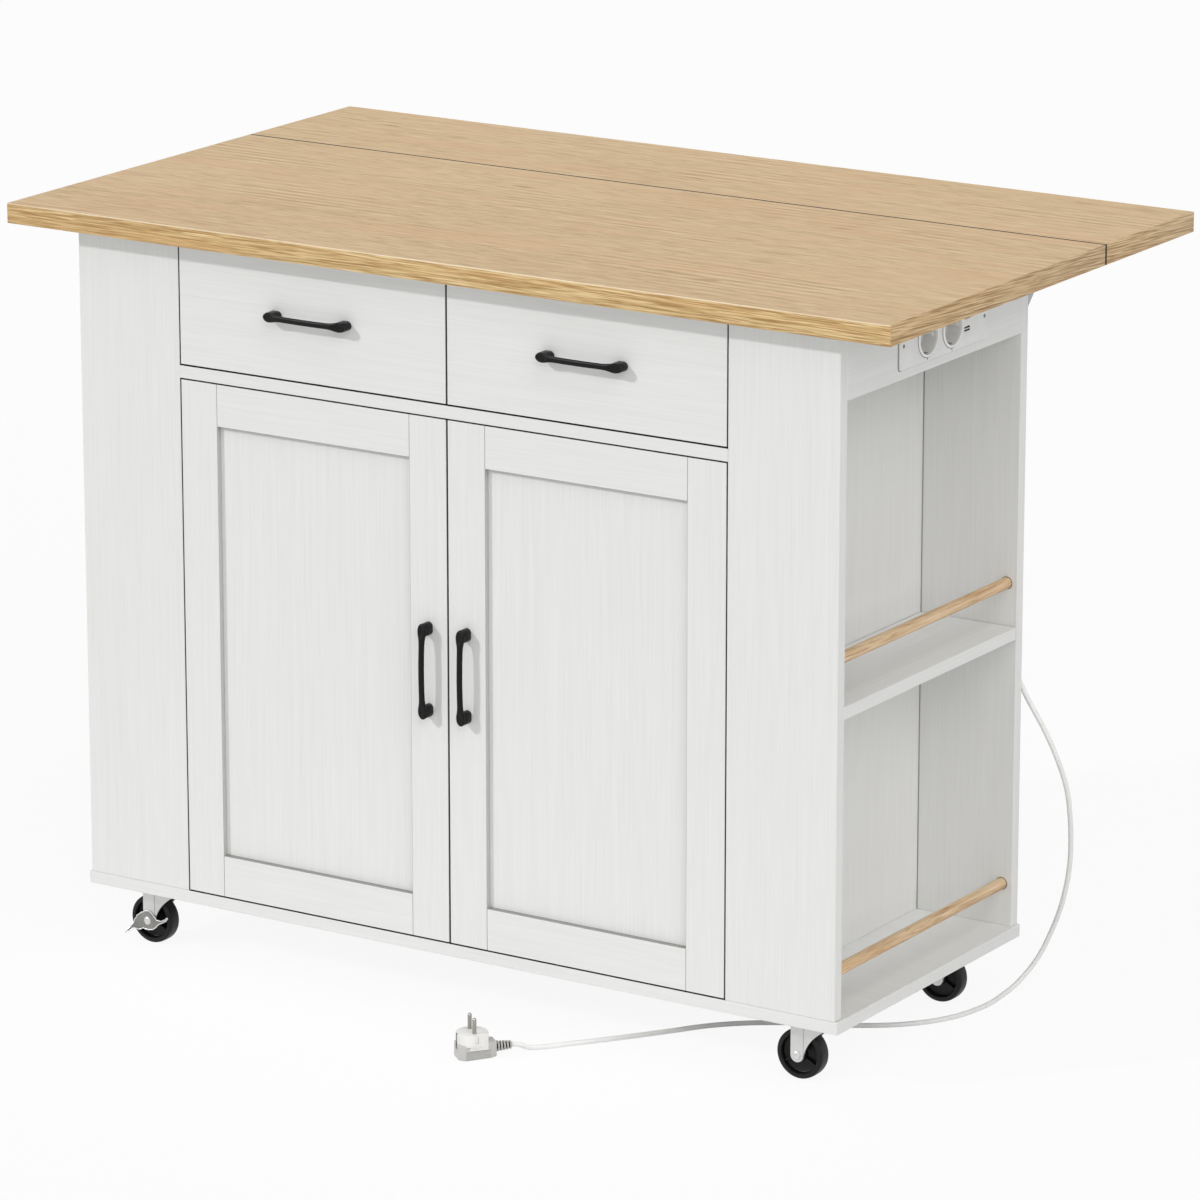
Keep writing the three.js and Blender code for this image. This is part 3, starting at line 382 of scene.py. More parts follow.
def add_turned(mesh_work, profile, sides, matrix=Matrix()):
    """Adds a form turned about Z from (radius, height) points, closed on the axis or on itself."""
    rings = []
    for radius, height in profile:
        points = circle(radius, sides) if radius > TOUCH else [(0, 0)]
        rings.append([mesh_work.verts.new((x, y, height)) for x, y in points])
    join_rings(mesh_work, rings, closed=len(rings[0]) > 1)
    bmesh.ops.transform(mesh_work, matrix=matrix, verts=[v for ring in rings for v in ring])


def edges_of(verts):
    """The edges at some vertices, each one once and always in the same order."""
    return list(dict.fromkeys(e for v in verts for e in v.link_edges))


def add_plate(mesh_work, outline, thickness, bevel=0.0, segments=2, matrix=Matrix(), holes=()):
    """Adds a flat plate: an outline in the XY plane, thickened along +Z, its rims rounded."""
    rim, edges = [], []
    for loop in (outline, *holes):
        ring = [mesh_work.verts.new((x, y, 0)) for x, y in loop]
        rim += ring
        edges += [mesh_work.edges.new(pair) for pair in zip(ring, ring[1:] + ring[:1])]
    faces = bmesh.ops.triangle_fill(mesh_work, use_beauty=True, edges=edges)["geom"]
    faces = [f for f in faces if isinstance(f, bmesh.types.BMFace)]
    moved = bmesh.ops.extrude_face_region(mesh_work, geom=faces)["geom"]
    top = [v for v in moved if isinstance(v, bmesh.types.BMVert)]
    bmesh.ops.translate(mesh_work, vec=(0, 0, thickness), verts=top)
    verts = rim + top
    if bevel:
        bmesh.ops.recalc_face_normals(
            mesh_work, faces=list(dict.fromkeys(f for v in verts for f in v.link_faces)))
        sharp = [e for e in edges_of(verts)
                 if len(e.link_faces) == 2 and e.calc_face_angle(0) > math.radians(50)
                 and abs(e.verts[0].co.z - e.verts[1].co.z) < TOUCH]
        made = bmesh.ops.bevel(mesh_work, geom=sharp, offset=bevel, segments=segments,
                               affect="EDGES", profile=0.5, clamp_overlap=True)
        verts = list({v for v in verts if v.is_valid} | {v for f in made["faces"] for v in f.verts})
    bmesh.ops.transform(mesh_work, matrix=matrix, verts=verts)


def arc(cx, cy, radius, start, end, steps):
    """Points along an arc in degrees, both ends included."""
    angles = [math.radians(start + (end - start) * i / steps) for i in range(steps + 1)]
    return [(cx + radius * math.cos(a), cy + radius * math.sin(a)) for a in angles]


def rounded_outline(x0, x1, y0, y1, radius, steps=5):
    """A rectangle with round corners."""
    return (arc(x1 - radius, y0 + radius, radius, -90, 0, steps)
            + arc(x1 - radius, y1 - radius, radius, 0, 90, steps)
            + arc(x0 + radius, y1 - radius, radius, 90, 180, steps)
            + arc(x0 + radius, y0 + radius, radius, 180, 270, steps))


def add_board(mesh_work, corner, other, ease=0.0, segments=2, lay=Matrix()):
    """Adds a board between two opposite corners, its edges eased."""
    low = [min(a, b) for a, b in zip(corner, other)]
    high = [max(a, b) for a, b in zip(corner, other)]
    matrix = lay @ Matrix.Translation((Vector(low) + Vector(high)) / 2) @ Matrix.Diagonal(
        (*[b - a for a, b in zip(low, high)], 1))
    verts = bmesh.ops.create_cube(mesh_work, size=1, matrix=matrix)["verts"]
    if ease:
        bmesh.ops.bevel(mesh_work, geom=edges_of(verts), offset=ease, segments=segments,
                        affect="EDGES", profile=0.5)


def form(add, *measures, **options):
    """New mesh work that holds one form: add is the function that adds it."""
    work = bmesh.new()
    add(work, *measures, **options)
    return work


def combine(base, forms, operation):
    """Joins closed forms to a solid (UNION) or cuts them out of it (DIFFERENCE)."""
    made = []
    for work in [base, *forms]:
        bmesh.ops.recalc_face_normals(work, faces=work.faces)
        made.append(add_object("form", bpy.data.meshes.new("form")))
        work.to_mesh(made[-1].data)
        work.free()
    for tool in made[1:]:
        step = made[0].modifiers.new("step", "BOOLEAN")
        step.operation = operation
        step.solver = "EXACT"
        step.object = tool
    result = bmesh.new()
    result.from_object(made[0], bpy.context.evaluated_depsgraph_get())
    for used in made:
        mesh = used.data
        bpy.data.objects.remove(used)
        bpy.data.meshes.remove(mesh)
    return result


plug_place = at((*PLUG_PLACE, 0), "Z", PLUG_TURN)
plug_pvc = moulded_material("plug pvc", (236, 235, 232), 0.4, grain=1200.0)
# Painted shade: darker copies of the plug's PVC for its foot, its grips and the sleeve's ribs
foot_pvc_shaded = moulded_material("plug pvc, painted shade", (196, 195, 192), 0.4, grain=1200.0)
grip_shade_grey = moulded_material("plug grip, painted shade", (178, 177, 174), 0.5, grain=1200.0)
# Painted shade: the near-black core that shows in the sleeve's grooves
groove_shade_dark = moulded_material("rib groove, painted shade", (22, 22, 22), 0.6, specular=0.3)
pin_metal = moulded_material("pin nickel", (158, 156, 150), 0.26, metallic=1.0, relief=0.05)
# Painted shade: the earth strips darkened as they sit in their slots
earth_metal_shaded = moulded_material("earth strip, painted shade", (120, 116, 108), 0.42, metallic=1.0, relief=0.05)


def plug_piece(name, mesh_work, material, smooth=35, lay=Matrix()):
    """A piece of the plug, from mesh work laid out about the middle of its face."""
    return make_piece(name, mesh_work, material, "island", smooth, plug_place @ lay)


foot = form(add_plate, PLUG_FOOT, PLUG_SHOULDER, bevel=PLUG_EASE, segments=3)
disc = form(add_turned, [(0, PLUG_SHOULDER - 2), (PLUG_RADIUS, PLUG_SHOULDER - 2),
                         (PLUG_RADIUS, PLUG_TOP - PLUG_EASE),
                         (PLUG_RADIUS - PLUG_EASE * 0.3, PLUG_TOP - PLUG_EASE * 0.3),
                         (PLUG_RADIUS - PLUG_EASE, PLUG_TOP), (0, PLUG_TOP)], 64)
cheek = form(add_plate, [(CHEEK_SPAN[0] - 2, CHEEK_FOOT), (CHEEK_SPAN[1], CHEEK_FOOT),
                         (CHEEK_SPAN[1], CHEEK_TOP), (CHEEK_SPAN[0], CHEEK_TOP),
                         (CHEEK_SPAN[0], PLUG_SHOULDER)], 2 * CHEEK_FACE, bevel=0.8, segments=3,
             matrix=at((0, CHEEK_FACE, 0), "X", 90))
face = combine(disc, [cheek], "UNION")
slots, earth_slots = [], []
for side in (-1, 1):
    guide_slot = form(
        add_board, (-GUIDE_WIDTH / 2, side * (PLUG_RADIUS - GUIDE_DEPTH), PLUG_TOP - GUIDE_HEIGHT),
        (GUIDE_WIDTH / 2, side * (PLUG_RADIUS + 1), PLUG_TOP + 1))
    earth_slot = form(
        add_board, (side * (PLUG_RADIUS - EARTH_DEPTH), -EARTH_WIDTH / 2, PLUG_TOP - EARTH_HEIGHT),
        (side * (PLUG_RADIUS + 1), EARTH_WIDTH / 2, PLUG_TOP + 1))
    slots += [guide_slot, earth_slot]
    earth_slots.append(earth_slot.copy())
foot = combine(foot, earth_slots, "DIFFERENCE")
face = combine(face, slots, "DIFFERENCE")
plug_base = plug_piece("plug_foot", foot, foot_pvc_shaded)
plug_top = plug_piece("plug_face", face, plug_pvc)

grips = bmesh.new()
for side in (-1, 1):
    start = Vector((GRIP_START[0], side * GRIP_START[1]))
    stop = Vector((GRIP_STOP[0], side * GRIP_STOP[1]))
    half = (stop - start).length / 2
    slant = math.degrees(math.atan2(stop.y - start.y, stop.x - start.x))
    for bottom, top in GRIP_HEIGHTS:
        add_board(grips, (-half, -GRIP_HALF, bottom), (half, GRIP_HALF, top), 0.15,
                  lay=at(((start + stop) / 2).to_3d(), "Z", slant))
plug_grips = plug_piece("plug_grips", grips, grip_shade_grey)

pins = bmesh.new()
pin_end = PLUG_TOP + PIN_LENGTH
for side in (-1, 1):
    add_turned(pins, [(0, PLUG_TOP - 3), (PIN_RADIUS, PLUG_TOP - 3), (PIN_RADIUS, pin_end - 2),
                      (PIN_RADIUS - 0.5, pin_end - 0.9), (PIN_RADIUS - 1.3, pin_end - 0.1),
                      (0, pin_end)], 24, at((0, side * PIN_PITCH / 2, 0)))
plug_pins = plug_piece("plug_pins", pins, pin_metal)

earth = bmesh.new()
for side in (-1, 1):
    bed = side * (PLUG_RADIUS - EARTH_DEPTH)
    add_board(earth, (bed, -EARTH_WIDTH / 2 + 0.4, PLUG_TOP - EARTH_HEIGHT + 0.4),
              (bed + side * EARTH_STRIP, EARTH_WIDTH / 2 - 0.4, PLUG_TOP - 0.8), 0.15)
earth_strips = plug_piece("plug_earth_strips", earth, earth_metal_shaded)

along_tail = at((PLUG_TAIL, 0, RELIEF_HEIGHT), "Y", 90)
rib_pitch = RELIEF_LENGTH / (RELIEF_RIBS + 0.4)
sleeve = bmesh.new()
for rib in range(RELIEF_RIBS + 1):
    crest = RELIEF_RADIUS - RELIEF_TAPER * rib
    start = rib * rib_pitch - rib_pitch * 0.3
    end = min(start + rib_pitch * 0.5, RELIEF_LENGTH)
    add_turned(sleeve, [(RELIEF_CORE - 0.4, start), (crest - RELIEF_EASE, start),
                        (crest, start + RELIEF_EASE), (crest, end - RELIEF_EASE),
                        (crest - RELIEF_EASE, end), (RELIEF_CORE - 0.4, end)], 32)
# The sleeve's ribs take the darker PVC, painted shade
plug_sleeve = plug_piece("plug_sleeve_ribs", sleeve, foot_pvc_shaded, smooth=30, lay=along_tail)
core = form(add_turned, [(0, -2), (RELIEF_CORE, -2), (RELIEF_CORE - 0.3, RELIEF_LENGTH - 0.6),
                         (0, RELIEF_LENGTH - 0.6)], 28)
# A near-black core under the ribs, painted shade of the grooves
sleeve_core = plug_piece("plug_sleeve_core", core, groove_shade_dark, lay=along_tail)
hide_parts("plug")

# ---------------------------------------------------------------- boot on the back panel
# A moulded elbow that carries the lead through the back panel and turns it down.
# Its round flange lies on the board, and its skirt narrows towards the lead.

BOOT_PLACE = Vector((430, 101.05, 827.3))
BOOT_REACH = 15.2
BOOT_LENGTH = 34
BOOT_RADIUS = 7.5
BOOT_RIBS = 5
BOOT_FLANGE = [(0, 0), (13, 0), (13, 1.6), (12.2, 2.8), (8.8, 3.2), (BOOT_RADIUS, 4.6),
               (BOOT_RADIUS, BOOT_REACH), (0, BOOT_REACH)]
RIB_STEP = 5
RIB_LIP = 0.9

boot = form(add_turned, BOOT_FLANGE, 40, at(BOOT_PLACE, "X", -90))
elbow = at(BOOT_PLACE + Vector((0, BOOT_REACH, 0)))
add_turned(boot, arc(0, 0, BOOT_RADIUS, 90, -90, 12), 32, elbow)
skirt = [(0, 2), (7.3, 2), (7.3, -2)]
for rib in range(BOOT_RIBS):
    base = -6 - rib * RIB_STEP
    radius = 7.0 - rib * 0.5
    skirt += [(radius, base), (radius, base - 2.6), (radius - RIB_LIP, base - 3.0),
              (radius - RIB_LIP, base - 4.4)]
skirt += [(4.6, -BOOT_LENGTH + 2), (4.2, -BOOT_LENGTH + 0.3), (0, -BOOT_LENGTH + 0.3)]
add_turned(boot, skirt, 32, elbow)
cord_boot = make_piece("lead_boot", boot, plug_pvc, "island", smooth=30)
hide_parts("cord_boot")

# ---------------------------------------------------------------- worktop and drop leaf
# Two particle boards faced with an oak decor whose grain runs along the island, white below.
# Their edges carry a thin edging in a warmer, more open oak; a strip along its upper corner is
# painted light as a highlight, and the two edges that meet at the seam are painted dark grey as
# the shade in the seam.

EDGING = 0.9
EDGING_EASE = 0.27
TRIM = 1.3
TRIM_EASE = 0.2
SEAM_STRIP = 1.0
FOIL = 0.4
OAK_TONES = ((172, 133, 92), (215, 184, 138), (234, 207, 163))
OAK_WARM = (221, 179, 133)
EDGING_TONES = ((164, 126, 74), (201, 168, 114), (232, 204, 154))
END_TONES = ((152, 118, 76), (197, 166, 122), (224, 197, 154))
EDGING_WARM = (206, 158, 100)
# Painted highlight: the pale tones of the strip along the edging's upper corner
TRIM_HIGHLIGHT_TONES = ((236, 214, 176), (248, 232, 200), (252, 240, 214))
# Painted shade: the dark grey of the two edges that meet at the seam
SEAM_SHADE_GREY = (60, 58, 54)
UNDERSIDE = (232, 231, 228)
# Weights of the streaks, fibres, arches and flecks in the oak figure
TOP_FIGURE = (0.2, 0.36, 0.2, 0.6)
EDGING_FIGURE = (0.06, 0.84, 0.0, 0.0)
TRIM_FIGURE = (0.1, 0.2, 0.0, 0.0)


def ranged(tree, value, low, high, to_low=0.0, to_high=1.0):
    """A value mapped from one range to another, and held inside it."""
    return add_node(tree, "ShaderNodeMapRange", Value=value, From_Min=low, From_Max=high,
                    To_Min=to_low, To_Max=to_high).outputs[0]


def blend(tree, kind, factor, first, second):
    """A blend from the first value to the second, both numbers, vectors or colours."""
    mix = tree.nodes.new("ShaderNodeMix")
    mix.data_type = kind
    output = ("FLOAT", "VECTOR", "RGBA").index(kind)
    feed(tree, mix.inputs[0], factor)
    feed(tree, mix.inputs[2 + 2 * output], first)
    feed(tree, mix.inputs[3 + 2 * output], second)
    return mix.outputs[output]


def stretched(tree, vector, scale):
    """A vector with its axes scaled; the smaller a scale, the longer the pattern runs that way."""
    node = tree.nodes.new("ShaderNodeVectorMath")
    node.operation = "MULTIPLY"
    feed(tree, node.inputs[0], vector)
    feed(tree, node.inputs[1], scale)
    return node.outputs[0]


def oak_figure_group():
    """Oak with its grain along X: streaks, fibres, open arches, pores and a few dark flecks."""
    tree, start, end = surface_group("oak figure", {
        "Vector": None, "Dark": (0.4, 0.3, 0.2, 1), "Mid": (0.6, 0.45, 0.3, 1),
        "Light": (0.7, 0.55, 0.4, 1), "Warm": (0.6, 0.4, 0.25, 1), "Streaks": 0.5,
        "Fibres": 0.5, "Arches": 0.2, "Flecks": 0.5})

    def drawn_out(along, across):
        return stretched(tree, start.outputs["Vector"], (along, across, across))

    def layer(along, across, detail, rough=0.5, distortion=0.0):
        """A stretched noise that swings between about -1 and 1."""
        noise = add_node(tree, "ShaderNodeTexNoise", Vector=drawn_out(along, across), Scale=1.0,
                         Detail=detail, Roughness=rough, Distortion=distortion)
        return ranged(tree, noise.outputs["Fac"], 0.25, 0.75, -1.0, 1.0)

    streaks = layer(8.0, 170.0, 3.0, 0.6, 0.5)
    fibres = layer(26.0, 430.0, 2.0, 0.6, 0.5)
    pores = ranged(tree, layer(60.0, 620.0, 1.0), 0.4, 0.9)
    rings = add_node(tree, "ShaderNodeTexWave", Vector=drawn_out(0.1, 1.0), Scale=22.0,
                     Distortion=5.0, Detail=2.0, Detail_Scale=1.4)
    rings.wave_type = "RINGS"
    rings.rings_direction = "Z"
    arches = calc(tree, "MULTIPLY", ranged(tree, rings.outputs["Fac"], 0.0, 1.0, -1.0, 1.0),
                  ranged(tree, layer(3.1, 8.0, 1.0), 0.0, 0.6))
    spots = add_node(tree, "ShaderNodeTexVoronoi", Vector=drawn_out(3.6, 15.0), Scale=1.0,
                     Randomness=1.0)
    chance = add_node(tree, "ShaderNodeSeparateColor", Color=spots.outputs["Color"]).outputs[0]
    flecks = calc(tree, "MULTIPLY", ranged(tree, spots.outputs["Distance"], 0.025, 0.085, 1.0, 0.0),
                  calc(tree, "GREATER_THAN", chance, 0.45))

    tone = calc(tree, "ADD", calc(tree, "MULTIPLY", layer(2.0, 7.0, 2.0), 0.06), 0.5)
    for value, weight in ((streaks, "Streaks"), (fibres, "Fibres"), (arches, "Arches")):
        tone = calc(tree, "ADD", tone, calc(tree, "MULTIPLY", value, start.outputs[weight]))
    tone = calc(tree, "SUBTRACT", tone, calc(tree, "MULTIPLY", pores, 0.12))
    tone = calc(tree, "SUBTRACT", tone, calc(tree, "MULTIPLY", flecks, start.outputs["Flecks"]))

    color = start.outputs["Dark"]
    for factor, next_color in (
            (ranged(tree, tone, 0.0, 0.5), "Mid"), (ranged(tree, tone, 0.5, 1.0), "Light"),
            (ranged(tree, layer(4.0, 26.0, 2.0), -0.2, 1.0, 0.0, 0.5), "Warm")):
        color = blend(tree, "RGBA", factor, color, start.outputs[next_color])
    feed_named(tree, end, Color=color, Roughness=ranged(tree, tone, 0.0, 1.0, 0.58, 0.46),
               Height=calc(tree, "SUBTRACT", calc(tree, "MULTIPLY", fibres, 0.3), pores))
    return tree


def laid(tree, turn=(0, 0, 0), shift=(0, 0, 0), stretch=(1, 1, 1)):
    """Object coordinates, turned in degrees so that a grain runs along the real piece's."""
    place = tree.nodes.new("ShaderNodeTexCoord")
    return add_node(tree, "ShaderNodeMapping", Vector=place.outputs["Object"], Location=shift,
                    Rotation=[math.radians(a) for a in turn], Scale=stretch).outputs[0]


oak_figure = oak_figure_group()


def oak_material(name, tones, warm, figure, **lay):
    """Oak decor or solid wood; its lay is the grain's turn, shift and stretch."""
    values = dict(zip(("Dark", "Mid", "Light", "Warm"), map(linear, (*tones, warm))))
    values.update(zip(("Streaks", "Fibres", "Arches", "Flecks"), figure))
    material, _, surface = surface_material(name, oak_figure, values, 0.15)
    feed(material.node_tree, surface.inputs["Vector"], laid(material.node_tree, **lay))
    return material


oak_top = oak_material("oak decor", OAK_TONES, OAK_WARM, TOP_FIGURE, shift=(0.13, 0.42, 0.0))
oak_along = oak_material("oak edging along", EDGING_TONES, EDGING_WARM, EDGING_FIGURE,
                         shift=(0.3, 0, 0.2), stretch=(0.7, 1.1, 1.7))
oak_across = oak_material("oak edging across", END_TONES, EDGING_WARM, EDGING_FIGURE,
                          turn=(10, 0, 90), shift=(0.1, 0.4, 0.5), stretch=(1.1, 0.6, 1.7))
# Painted highlight for the strip along the edging's upper corner
oak_trim_highlight = oak_material("oak edging, painted highlight", TRIM_HIGHLIGHT_TONES, OAK_WARM, TRIM_FIGURE)
# Painted shade of the seam between worktop and leaf
seam_shade = moulded_material("seam edging, painted shade", SEAM_SHADE_GREY, 0.5)
underside_white = moulded_material("balancing foil", UNDERSIDE, 0.6)


def corners_mm(node):
    """A CAD node's lowest and highest corner, in millimetres."""
    low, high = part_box(node)
    return low / MM, high / MM


def board_piece(name, corner, other, material, body, ease=0.0):
    """A piece of a top that is one plain board or strip."""
    return make_piece(name, form(add_board, corner, other, ease), material, body)


for node, body, seam_side in (("worktop", "island", "rear"), ("drop_leaf", "leaf", "front")):
    low, high = corners_mm(node)
    front = low.y + (SEAM_STRIP if seam_side == "front" else EDGING)
    rear = high.y - (SEAM_STRIP if seam_side == "rear" else EDGING)
    left, right = low.x + EDGING, high.x - EDGING
    board = board_piece(f"{node}_board", (left, front, low.z + FOIL), (right, rear, high.z),
                        oak_top, body)
    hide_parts(node)
    board_piece(f"{node}_underside", (left, front, low.z), (right, rear, low.z + FOIL),
                underside_white, body)
    for run, start, stop in (("front", low.y, front), ("rear", rear, high.y)):
        seam = run == seam_side
        # The edges at the seam are painted dark as its shade; the strips along the other upper
        # corners are a painted highlight
        board_piece(f"{node}_edging_{run}", (low.x, start, low.z), (high.x, stop, high.z - TRIM),
                    seam_shade if seam else oak_along, body, EDGING_EASE)
        board_piece(f"{node}_trim_{run}", (low.x, start, high.z - TRIM), (high.x, stop, high.z),
                    seam_shade if seam else oak_trim_highlight, body, TRIM_EASE)
    for run, start, stop in (("left", low.x, left), ("right", right, high.x)):
        board_piece(f"{node}_edging_{run}", (start, front, low.z), (stop, rear, high.z),
                    oak_across, body, EDGING_EASE)

# ---------------------------------------------------------------- white boards
# Particle boards faced with a white decor that is embossed with fine, straight wood grain.
# The grain runs up the uprights and along the base, the deck and the drawer fronts. The gaps
# round the doors and drawer fronts are painted dark as their shade: the fronts' edges, the stiles'
# inner edges, and a strip on the base and the deck under the fronts. Grey lines where boards
# meet are partly joint lines and partly painted shade in corners and round the doors' sunk panels.

BOARD_TONES = ((233, 233, 231), (227, 227, 225))
INSIDE_TONES = ((230, 230, 228), (225, 225, 223))
# The next two tones are painted shade of the gaps round the fronts, on upright and on level edges
GAP_SHADE_UPRIGHT = (92, 92, 91)
GAP_SHADE_LEVEL = (12, 12, 12)
GAP_SHADE_REACH = 0.2 * MM
# Grey lines where boards meet: partly joint lines, partly painted shade in the bays' corners, at
# the stiles' feet and round the doors' sunk panels
JOINT_SHADE_GREY = (150, 150, 148)
JOINT_SHADE_LIGHT = (186, 186, 184)
CORNER_SHADE_WIDTH = 1.1
STILE_FOOT_SHADE = 0.7
GAP_DEPTH = 14
BOARD_RELIEF = 0.12
GRAIN_TURNS = {"up": (0, 0, 0), "along": (0, 90, 0), "deep": (90, 0, 0)}


def embossed_grain_group():
    """Fine embossed grain that runs along Z: a shade, a roughness and a relief."""
    tree, start, end = surface_group("embossed grain", {
        "Vector": None, "Light": linear(BOARD_TONES[0]), "Dark": linear(BOARD_TONES[1])})

    def lines(across, along, distortion):
        drawn_out = stretched(tree, start.outputs["Vector"], (across, across, along))
        return add_node(tree, "ShaderNodeTexNoise", Vector=drawn_out, Scale=1.0, Detail=2.0,
                        Distortion=distortion).outputs["Fac"]

    grain = blend(tree, "FLOAT", 0.3, lines(420.0, 9.0, 0.4), lines(110.0, 3.0, 0.6))
    grain = ranged(tree, grain, 0.32, 0.68)
    feed_named(tree, end, Height=grain, Roughness=ranged(tree, grain, 0.0, 1.0, 0.62, 0.54),
               Color=blend(tree, "RGBA", grain, start.outputs["Dark"], start.outputs["Light"]))
    return tree


embossed_grain = embossed_grain_group()


def board_material(name, way, tones=BOARD_TONES, front=None, frame_width=0.0, marks=()):
    """The white decor. A mark is a tone and limits along some axes. A front, given by its
    corners, gets painted gap shade on its edges, darker on the top and bottom ones, and a
    framed one has its grain turned in its two rails."""
    material, shader, grain = surface_material(name, embossed_grain, {
        "Light": linear(tones[0]), "Dark": linear(tones[1])}, BOARD_RELIEF)
    tree = material.node_tree
    place = tree.nodes.new("ShaderNodeTexCoord")
    split = add_node(tree, "ShaderNodeSeparateXYZ", Vector=place.outputs["Object"])
    axes = dict(zip("xyz", split.outputs))

    def within(axis, low, high):
        """1 between two limits along an axis, 0 elsewhere."""
        return calc(tree, "MULTIPLY", calc(tree, "GREATER_THAN", axes[axis], low),
                    calc(tree, "LESS_THAN", axes[axis], high))

    color, vector = grain.outputs["Color"], laid(tree, GRAIN_TURNS[way])
    for tone, limits in marks:
        area = 1.0
        for axis, (start, stop) in limits.items():
            area = calc(tree, "MULTIPLY", area, within(axis, start * MM, stop * MM))
        color = blend(tree, "RGBA", area, color, linear(tone))
    # Painted gap shade on the front's edges
    if front:
        low, high = front
        inner = within("x", low.x + GAP_SHADE_REACH, high.x - GAP_SHADE_REACH)
        color = blend(tree, "RGBA", inner, linear(GAP_SHADE_UPRIGHT), color)
        inner = within("z", low.z + 2 * GAP_SHADE_REACH, high.z - 2 * GAP_SHADE_REACH)
        color = blend(tree, "RGBA", inner, linear(GAP_SHADE_LEVEL), color)
    if frame_width:
        between = within("x", low.x + frame_width, high.x - frame_width)
        panel = within("z", low.z + frame_width, high.z - frame_width)
        rails = calc(tree, "MULTIPLY", between, calc(tree, "SUBTRACT", 1.0, panel))
        vector = blend(tree, "VECTOR", rails, vector, laid(tree, GRAIN_TURNS["along"]))
    feed(tree, grain.inputs["Vector"], vector)
    feed(tree, shader.inputs["Base Color"], color)
    return material


def dress(node, material):
    """Gives a CAD node its finish."""
    nodes[node].data.materials.clear()
    nodes[node].data.materials.append(material)


stile_low = corners_mm("front_stile_right")[0]
divider_low, divider_high = corners_mm("divider_right")
# A near-black strip of painted gap shade on the base and the deck, under the fronts
gap_strip = (stile_low.y - 1, stile_low.y + GAP_DEPTH)
for node, label, limits in (("base_board", "base board", {"x": (-stile_low.x, stile_low.x)}),
                            ("drawer_deck", "deck board", {})):
    top = corners_mm(node)[1].z
    dress(node, board_material(label, "along", marks=[
        (GAP_SHADE_LEVEL, {"z": (top - 0.1, top + 1), "y": gap_strip, **limits})]))
# The stile's foot gets a painted shadow line where it meets the base, and its inner edge gets
# painted gap shade
stile_board = board_material("stile board", "up", marks=[
    (JOINT_SHADE_LIGHT, {"z": (stile_low.z, stile_low.z + STILE_FOOT_SHADE)}),
    (GAP_SHADE_UPRIGHT, {"x": (-stile_low.x - 0.1, stile_low.x + 0.1)})])
# Grey lines in the bay's inner corners, where boards meet: joint lines and painted shade of the
# corners
rear_corner_shade = (JOINT_SHADE_GREY, {"y": (divider_high.y - CORNER_SHADE_WIDTH, divider_high.y + 1)})
divider_board = board_material("divider board", "up", marks=[rear_corner_shade])
bay_face = (divider_low.y, divider_high.y + 0.2)
bay_corner_shade = [
    (JOINT_SHADE_GREY, {"x": (divider_high.x, divider_high.x + CORNER_SHADE_WIDTH), "y": bay_face}),
    (JOINT_SHADE_GREY, {"x": (-divider_high.x - CORNER_SHADE_WIDTH, -divider_high.x), "y": bay_face})]
shelf_board = board_material("bay shelf board", "deep", marks=[*bay_corner_shade, rear_corner_shade])
apron_board = board_material("white board, grain deep", "deep")
inside_up = board_material("inside board, grain up", "up", INSIDE_TONES)
inside_along = board_material("inside board, grain along", "along", INSIDE_TONES)
dress("back_panel", board_material("back board", "up", marks=bay_corner_shade))
dress("drawer_partition", inside_up)
dress("inner_shelf", inside_along)
for side in ("left", "right"):
    for node, board in (("front_stile", stile_board), ("divider", divider_board),
                        ("bay_shelf", shelf_board), ("apron", apron_board),
                        ("drawer_box", inside_along), ("drawer_bottom", inside_along)):
        dress(f"{node}_{side}", board)
    dress(f"drawer_front_{side}", board_material(
        f"drawer front {side}", "along", front=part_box(f"drawer_front_{side}")))

# ---------------------------------------------------------------- doors
# Framed doors: two stiles the full height, two rails between them and a sunk flat panel.
# All of it is faced with the white decor, its grain up in stiles and panel, along in the rails.

DOOR_FRAME = 51 * MM
JOINT_SHADE_HALF = 0.5

for side in ("left", "right"):
    low, high = corners_mm(f"door_{side}")
    opening_x = (low.x + DOOR_FRAME / MM, high.x - DOOR_FRAME / MM)
    opening_z = (low.z + DOOR_FRAME / MM, high.z - DOOR_FRAME / MM)
    # Lines at the stiles' inner edges and the rails' edges: joint lines, and painted shadow where
    # the panel is sunk
    joint_shade_lines = [(JOINT_SHADE_LIGHT, {"x": (x - JOINT_SHADE_HALF, x + JOINT_SHADE_HALF)}) for x in opening_x]
    joint_shade_lines += [(JOINT_SHADE_GREY, {"x": opening_x, "z": (z - JOINT_SHADE_HALF, z + JOINT_SHADE_HALF)})
               for z in opening_z]
    dress(f"door_{side}", board_material(f"door {side}", "up", front=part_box(f"door_{side}"),
                                         frame_width=DOOR_FRAME, marks=joint_shade_lines))

# ---------------------------------------------------------------- pulls
# Cast bar pulls in satin black, held from behind by two screws: a bowed bar that swells into
# an oval at each end, with a shallow dished facet there, on two oval feet.

PULL_LENGTH = 115
PULL_END = 0.4
PULL_FOOT = (17, 11)
PULL_REACH = 16
PULL_BOW = 3
PULL_LOBE = 11.5
PULL_WAIST = 7.0
PULL_THICK = 5.0
LOBE_THICK = 1.0
LOBE_FALL = 0.9
SQUARENESS = 2.6
DISH_DEPTH = 1.3
DISH_HALF = (7.0, 4.2)
PULL_STATIONS = 72
PULL_SIDES = 28

pull_black = moulded_material("pull black", (13, 13, 13), 0.28, spread=0.14, tint=0.3,
                              grain=420.0, relief=0.6, specular=0.2)


